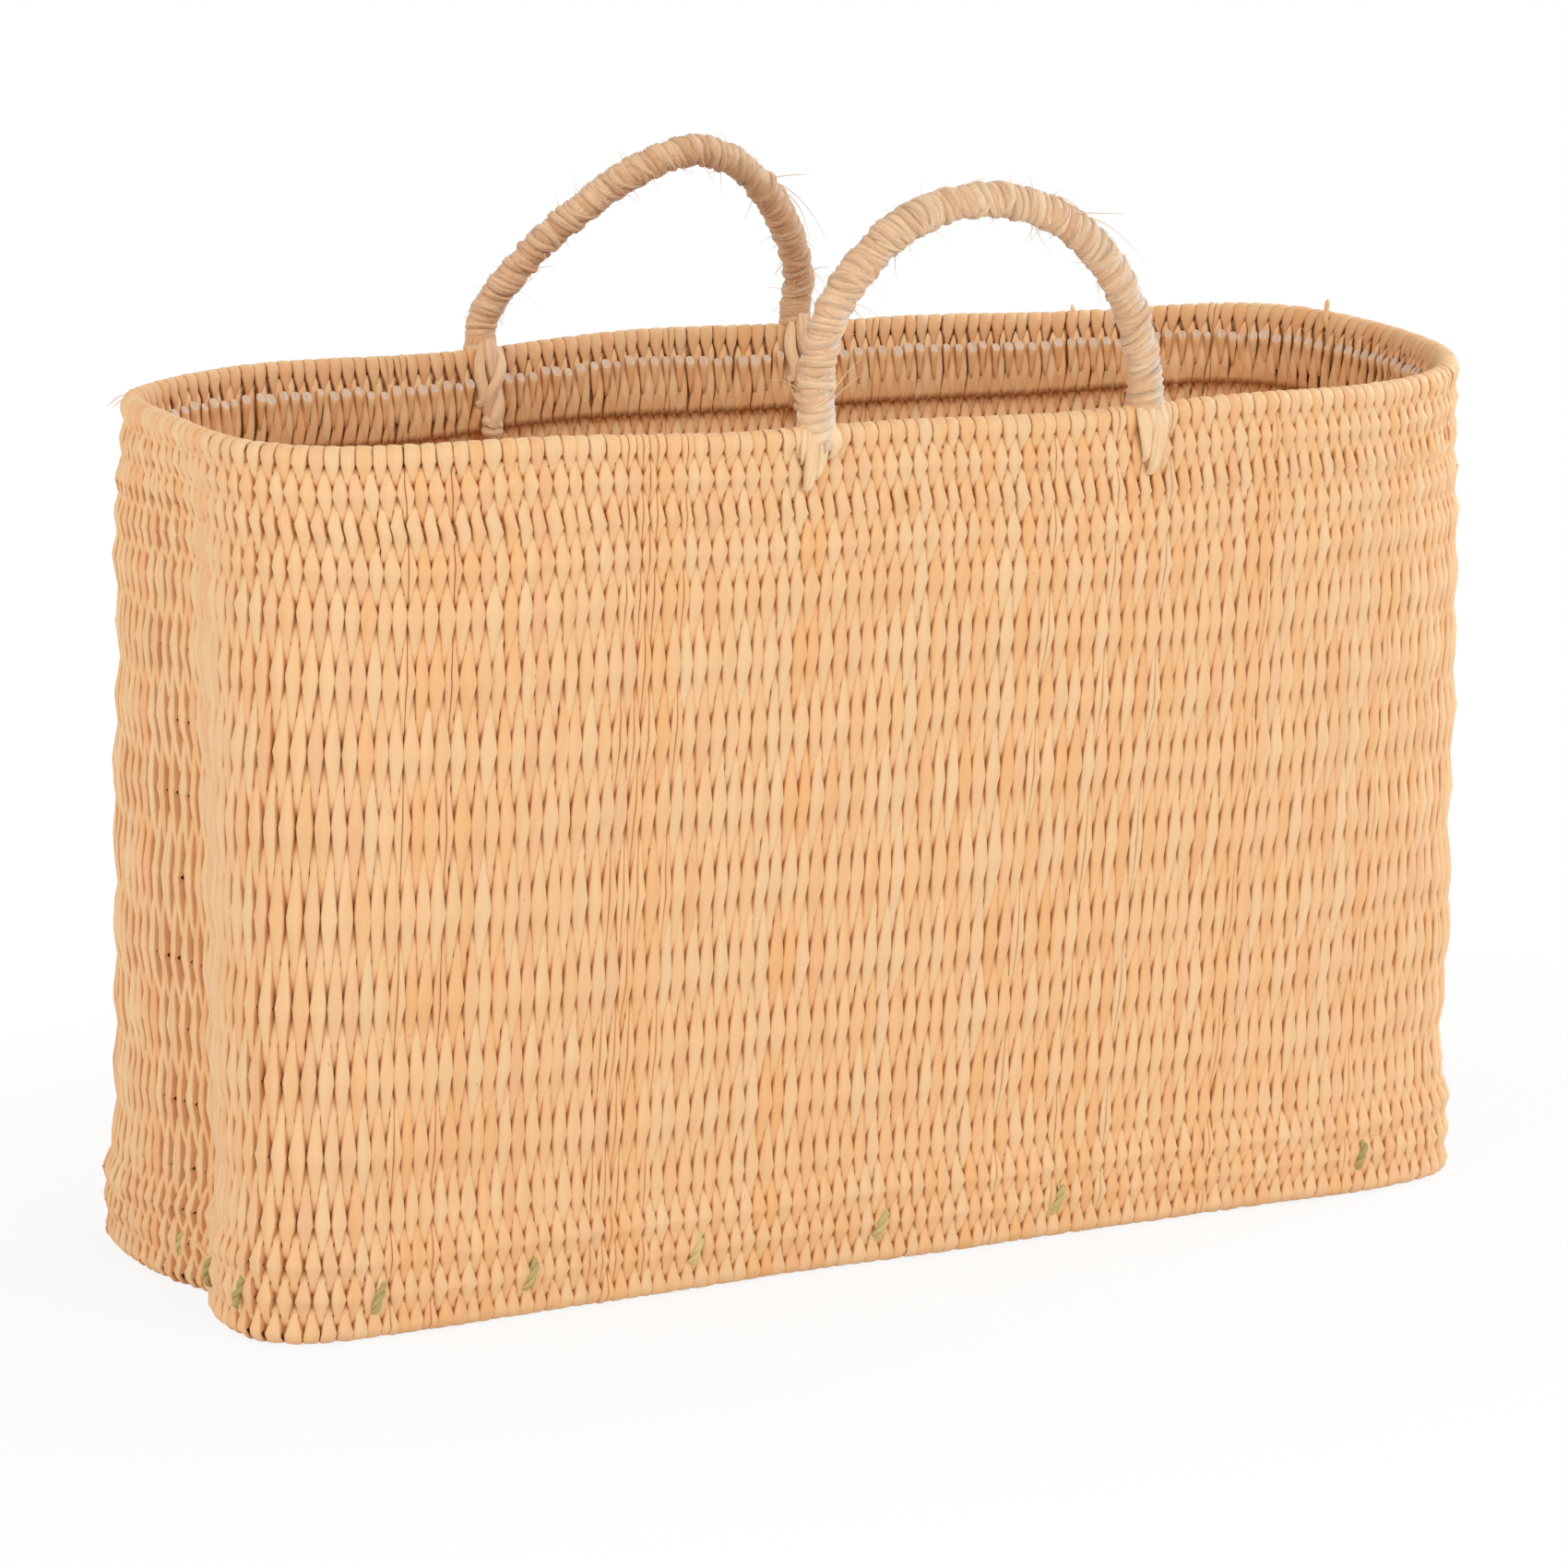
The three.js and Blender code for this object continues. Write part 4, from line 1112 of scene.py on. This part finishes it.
# Handle feet: outside, flat fibre bundles come out under the winding and go in between two rows;
# inside, one bundle ends under the rim and a two-ply strand hangs down to a knot. Each bundle is
# laid through points: to the right for someone outside, out from the wall's middle, up from the
# rim's top, width and thickness, in millimetres.
foot_strands = {
    "front_left": [
        [(-3.2, 2.6, -1, 3.8, 1.4), (-3.5, 4.7, -4.5, 4.3, 1.6), (-3.7, 5.4, -9, 4.4, 1.8),
         (-3.8, 5.2, -14, 4.2, 1.8), (-4.0, 4.9, -18, 3.5, 1.6), (-4.2, 3.4, -20, 2.4, 1.2)],
        [(0.2, 2.6, -1, 3.2, 1.3), (0.3, 4.7, -4.5, 3.6, 1.5), (0.2, 5.2, -8, 3.5, 1.5),
         (-0.2, 4.9, -12, 3.0, 1.4), (-0.9, 4.5, -15, 2.2, 1.2), (-1.4, 3.0, -17, 1.6, 1.0)],
        [(-5.4, 2.6, -1, 2.6, 1.2), (-6.0, 4.4, -4.5, 2.6, 1.2), (-6.4, 4.8, -6.5, 2.2, 1.1),
         (-6.5, 4.6, -8.5, 1.8, 1.0), (-6.3, 4.2, -10.5, 1.3, 0.8), (-6.2, 3.0, -12, 0.9, 0.6)],
        [(2.2, 3.2, 0, 4.4, 1.4), (3.4, 4.8, -2.6, 5.0, 1.6), (4.3, 5.2, -4.8, 4.6, 1.6),
         (4.4, 4.9, -6.8, 3.6, 1.4), (3.9, 4.3, -8.8, 2.4, 1.2), (3.4, 3.0, -10.2, 1.6, 0.9)],
    ],
    "front_right": [
        [(-3.4, 2.6, -1, 4.8, 1.4), (-3.6, 4.7, -4, 5.2, 1.6), (-3.2, 5.3, -7, 4.8, 1.7),
         (-2.3, 5.2, -12, 3.8, 1.6), (-1.6, 4.7, -16, 3.0, 1.4), (-1.3, 3.0, -18, 2.2, 1.1)],
        [(1.4, 2.6, -1, 4.8, 1.5), (1.7, 4.8, -4, 5.2, 1.7), (2.0, 5.5, -8, 5.0, 1.8),
         (1.7, 5.6, -14, 4.7, 1.8), (1.3, 5.1, -19, 4.0, 1.6), (1.1, 3.2, -22, 2.8, 1.2)],
        [(-1.0, 3.2, 0, 2.4, 1.3), (-0.6, 5.1, -4, 2.6, 1.4), (-0.2, 5.2, -7, 2.2, 1.3),
         (-0.2, 4.9, -10, 1.8, 1.1), (-0.3, 4.4, -12, 1.4, 0.9), (-0.4, 3.4, -14, 1.0, 0.7)],
        [(3.0, 3.4, 0, 2.2, 1.3), (3.8, 5.0, -4, 2.4, 1.4), (3.9, 5.4, -8, 2.0, 1.3),
         (3.6, 5.4, -12, 1.6, 1.1), (3.3, 5.4, -16, 1.2, 0.9), (3.0, 5.0, -19, 0.9, 0.7)],
    ],
}
foot_strand_steps = 26
foot_strand_sides = 22
inner_strand = [
    (1.0, -3.0, 2, 3.4, 1.6), (4.0, -5.6, -3, 4.0, 1.8), (4.6, -7.0, -8, 4.3, 2.0),
    (3.4, -7.5, -13, 4.2, 2.0), (3.6, -7.5, -17, 3.4, 1.7), (5.6, -7.0, -18.6, 2.2, 1.3),
]
inner_rope = [
    (-0.8, -3.0, 2.0), (-1.6, -6.0, -3.0), (-1.2, -7.6, -10.0), (-0.3, -8.2, -16.0),
    (0.0, -8.4, -22.0), (-0.3, -8.2, -26.0),
]
inner_rope_steps = 70
inner_ply, inner_reach = 0.002, 0.0017
inner_twist = 2 * math.pi / 0.026
inner_tones = (1.2, 0.0, 1.0)
foot_tone, foot_tone_spread = 1.0, 0.5
foot_ridges = 0.14
foot_grain_length = 0.03
knot_ply, knot_radius, knot_depth = 0.0016, 0.0022, 0.8
knot_turns = 2.2
knot_steps = 60
knot_top, knot_bottom, knot_wave = 0.0018, -0.0022, 0.0008
foot_seed = 10
foot_material = fibre_finish(
    "foot_fibre", dye(252, 222, 180), dye(232, 184, 134), 2000.0, 0.0003, 0.2)


def foot_place(shape, end):
    """The turn round the basket at which a handle's left foot, end 0, or right, end -1, stands."""
    line, _ = arch_line(shape)
    rim = wall(all_turns, body_height, 0.0)
    return all_turns[np.linalg.norm((rim - line[end])[:, :2], axis=1).argmin()]


for name, shape in handle_shapes.items():
    side = name.split("_")[0]
    for end, which in enumerate(("left", "right")):
        chance = np.random.default_rng(shape["seed"] + foot_seed + end)
        turn = foot_place(shape, -end)
        outer = foot_strands.get(f"{side}_{which}", foot_strands["front_right"])
        rings, spots = [], []
        across, through = round_section(foot_strand_sides, 2.6)
        way_out = wall(turn, body_height, 0.01) - wall(turn, body_height, 0.0)
        for strand in outer + [inner_strand]:
            aside, out, up, width, thick = eased_path(strand, foot_strand_steps).T[..., None] / 1000
            line = wall(turn, body_height + up, out, aside)[:, 0]
            run, outward, _ = frames_along(line, way_out)
            ridges = chance.normal(0, foot_ridges, foot_strand_sides)
            sideways = np.cross(run, outward)
            rings.append(
                line[:, None] - sideways[:, None] * (width / 2 * across)[..., None]
                + outward[:, None] * (thick / 2 * (through * (1 + ridges)))[..., None])
            along = np.linspace(0, foot_grain_length, foot_strand_steps)[:, None]
            spots.append(stacked(width / 2 * across + fibre_depth * through, along, len(spots)))
        tones = chance.normal(foot_tone, foot_tone_spread, len(rings))[:, None, None]
        bundles = lay_strands(f"{name}_{which}_foot", np.array(rings), [foot_material],
                              np.array(spots), stacked(tones, 0.0, 1.0))

        aside, out, up = eased_path(inner_rope, inner_rope_steps).T / 1000
        line = wall(turn, body_height + up, out, aside)
        rings, places = twisted_plies(
            line, np.array((0, 1.0, 0)), 2, inner_reach, inner_ply, inner_twist)
        rope = lay_strands(
            f"{name}_{which}_foot_rope", rings, [wrap_material], places, inner_tones)
        angle = np.linspace(0, 2 * np.pi * knot_turns, knot_steps)
        knot_line = line[-1] + stacked(
            knot_radius * np.cos(angle), knot_radius * knot_depth * np.sin(angle),
            knot_wave * np.sin(angle / 2) + np.linspace(knot_top, knot_bottom, knot_steps))
        rings, places = twisted_plies(knot_line, upright, 1, 0.0, knot_ply, 0.0)
        knot = lay_strands(
            f"{name}_{which}_foot_knot", rings, [wrap_material], places, inner_tones)
        for piece in (bundles, rope, knot):
            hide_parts(f"{side}_{which}_foot_loop")
            handle_bend(piece, shape)


# Studio: a pale floor and backdrop, one broad soft light from the front and right, a warm one from
# the left, a small cool one from the right and behind, and an even sky.
floor_reach = 9
floor_mesh = bpy.data.meshes.new("floor")
floor_mesh.from_pydata([(x * floor_reach, y * floor_reach, 0) for x, y in (
    (-1, -1), (1, -1), (1, 1), (-1, 1))], [], [(0, 1, 2, 3)])
floor = bpy.data.objects.new("floor", floor_mesh)
bpy.context.collection.objects.link(floor)
floor_color = (0.93, 0.93, 0.93, 1.0)
white = (1.0, 1.0, 1.0, 1.0)
sky_strength = 0.58

# The paper burns out to white away from the basket: from, and wholly past, these distances, where
# one behind or before it counts more than one beside it, and how white it is at the basket.
near_floor, far_floor = 0.26, 0.62
floor_shares = (1.0, 1.7, 0.0)
near_white = 0.85


def seen_share(dyes):
    """1 for rays from the eye or a mirror image, 0 for the light that reaches other things."""
    rays = [dyes.node("LightPath", {}, {}, output=name) for name in (
        "Is Camera Ray", "Is Glossy Ray", "Is Transmission Ray")]
    return dyes.maths("ADD", rays[0] + rays[1], rays[2], clamp=True)


floor_material, paper = new_material("floor_paper")
spot = paper.node("VectorMath", {"operation": "MULTIPLY"}, {
    0: paper.node("NewGeometry", {}, {}), 1: floor_shares})
reach = paper.node("VectorMath", {"operation": "LENGTH"}, {0: spot}, output=1)
pure = (reach.ramp(near_floor, far_floor) * (1 - near_white) + near_white) * seen_share(paper)
paper.node("OutputMaterial", {}, {"Surface": paper.node("MixShader", {}, {
    0: pure,
    1: paper.node("BsdfDiffuse", {}, {"Color": floor_color}),
    2: paper.node("Emission", {}, {"Color": white, "Strength": 1.0})})})
floor_mesh.materials.append(floor_material)


def soft_light(name, place, aim, size, power, color):
    lamp = bpy.data.lights.new(name, "AREA")
    lamp.shape = "SQUARE"
    lamp.size = size
    lamp.energy = power
    lamp.color = color
    light = bpy.data.objects.new(name, lamp)
    light.location = place
    light.rotation_euler = (Vector(aim) - Vector(place)).to_track_quat("-Z", "Y").to_euler()
    bpy.context.collection.objects.link(light)


soft_light("front_light", (0.9, -2.5, 2.0), (0, 0, 0.15), 1.8, 31.5, (1.0, 0.96, 0.91))
soft_light("left_light", (-2.3, -0.6, 1.3), (0, 0, 0.15), 1.9, 19.5, (1.0, 0.9, 0.78))
soft_light("right_light", (2.3, 0.4, 1.2), (0, 0, 0.3), 1.0, 24, (0.86, 0.93, 1.0))

world = bpy.data.worlds.new("sky")
bpy.context.scene.world = world
world.use_nodes = True
world.node_tree.nodes.clear()
sky = Dye(world.node_tree)
sky.node("OutputWorld", {}, {"Surface": sky.node("MixShader", {}, {
    0: seen_share(sky),
    1: sky.node("Background", {}, {"Color": white, "Strength": sky_strength}),
    2: sky.node("Background", {}, {"Color": white, "Strength": 1.0})})})

bpy.context.scene.view_settings.view_transform = "Standard"
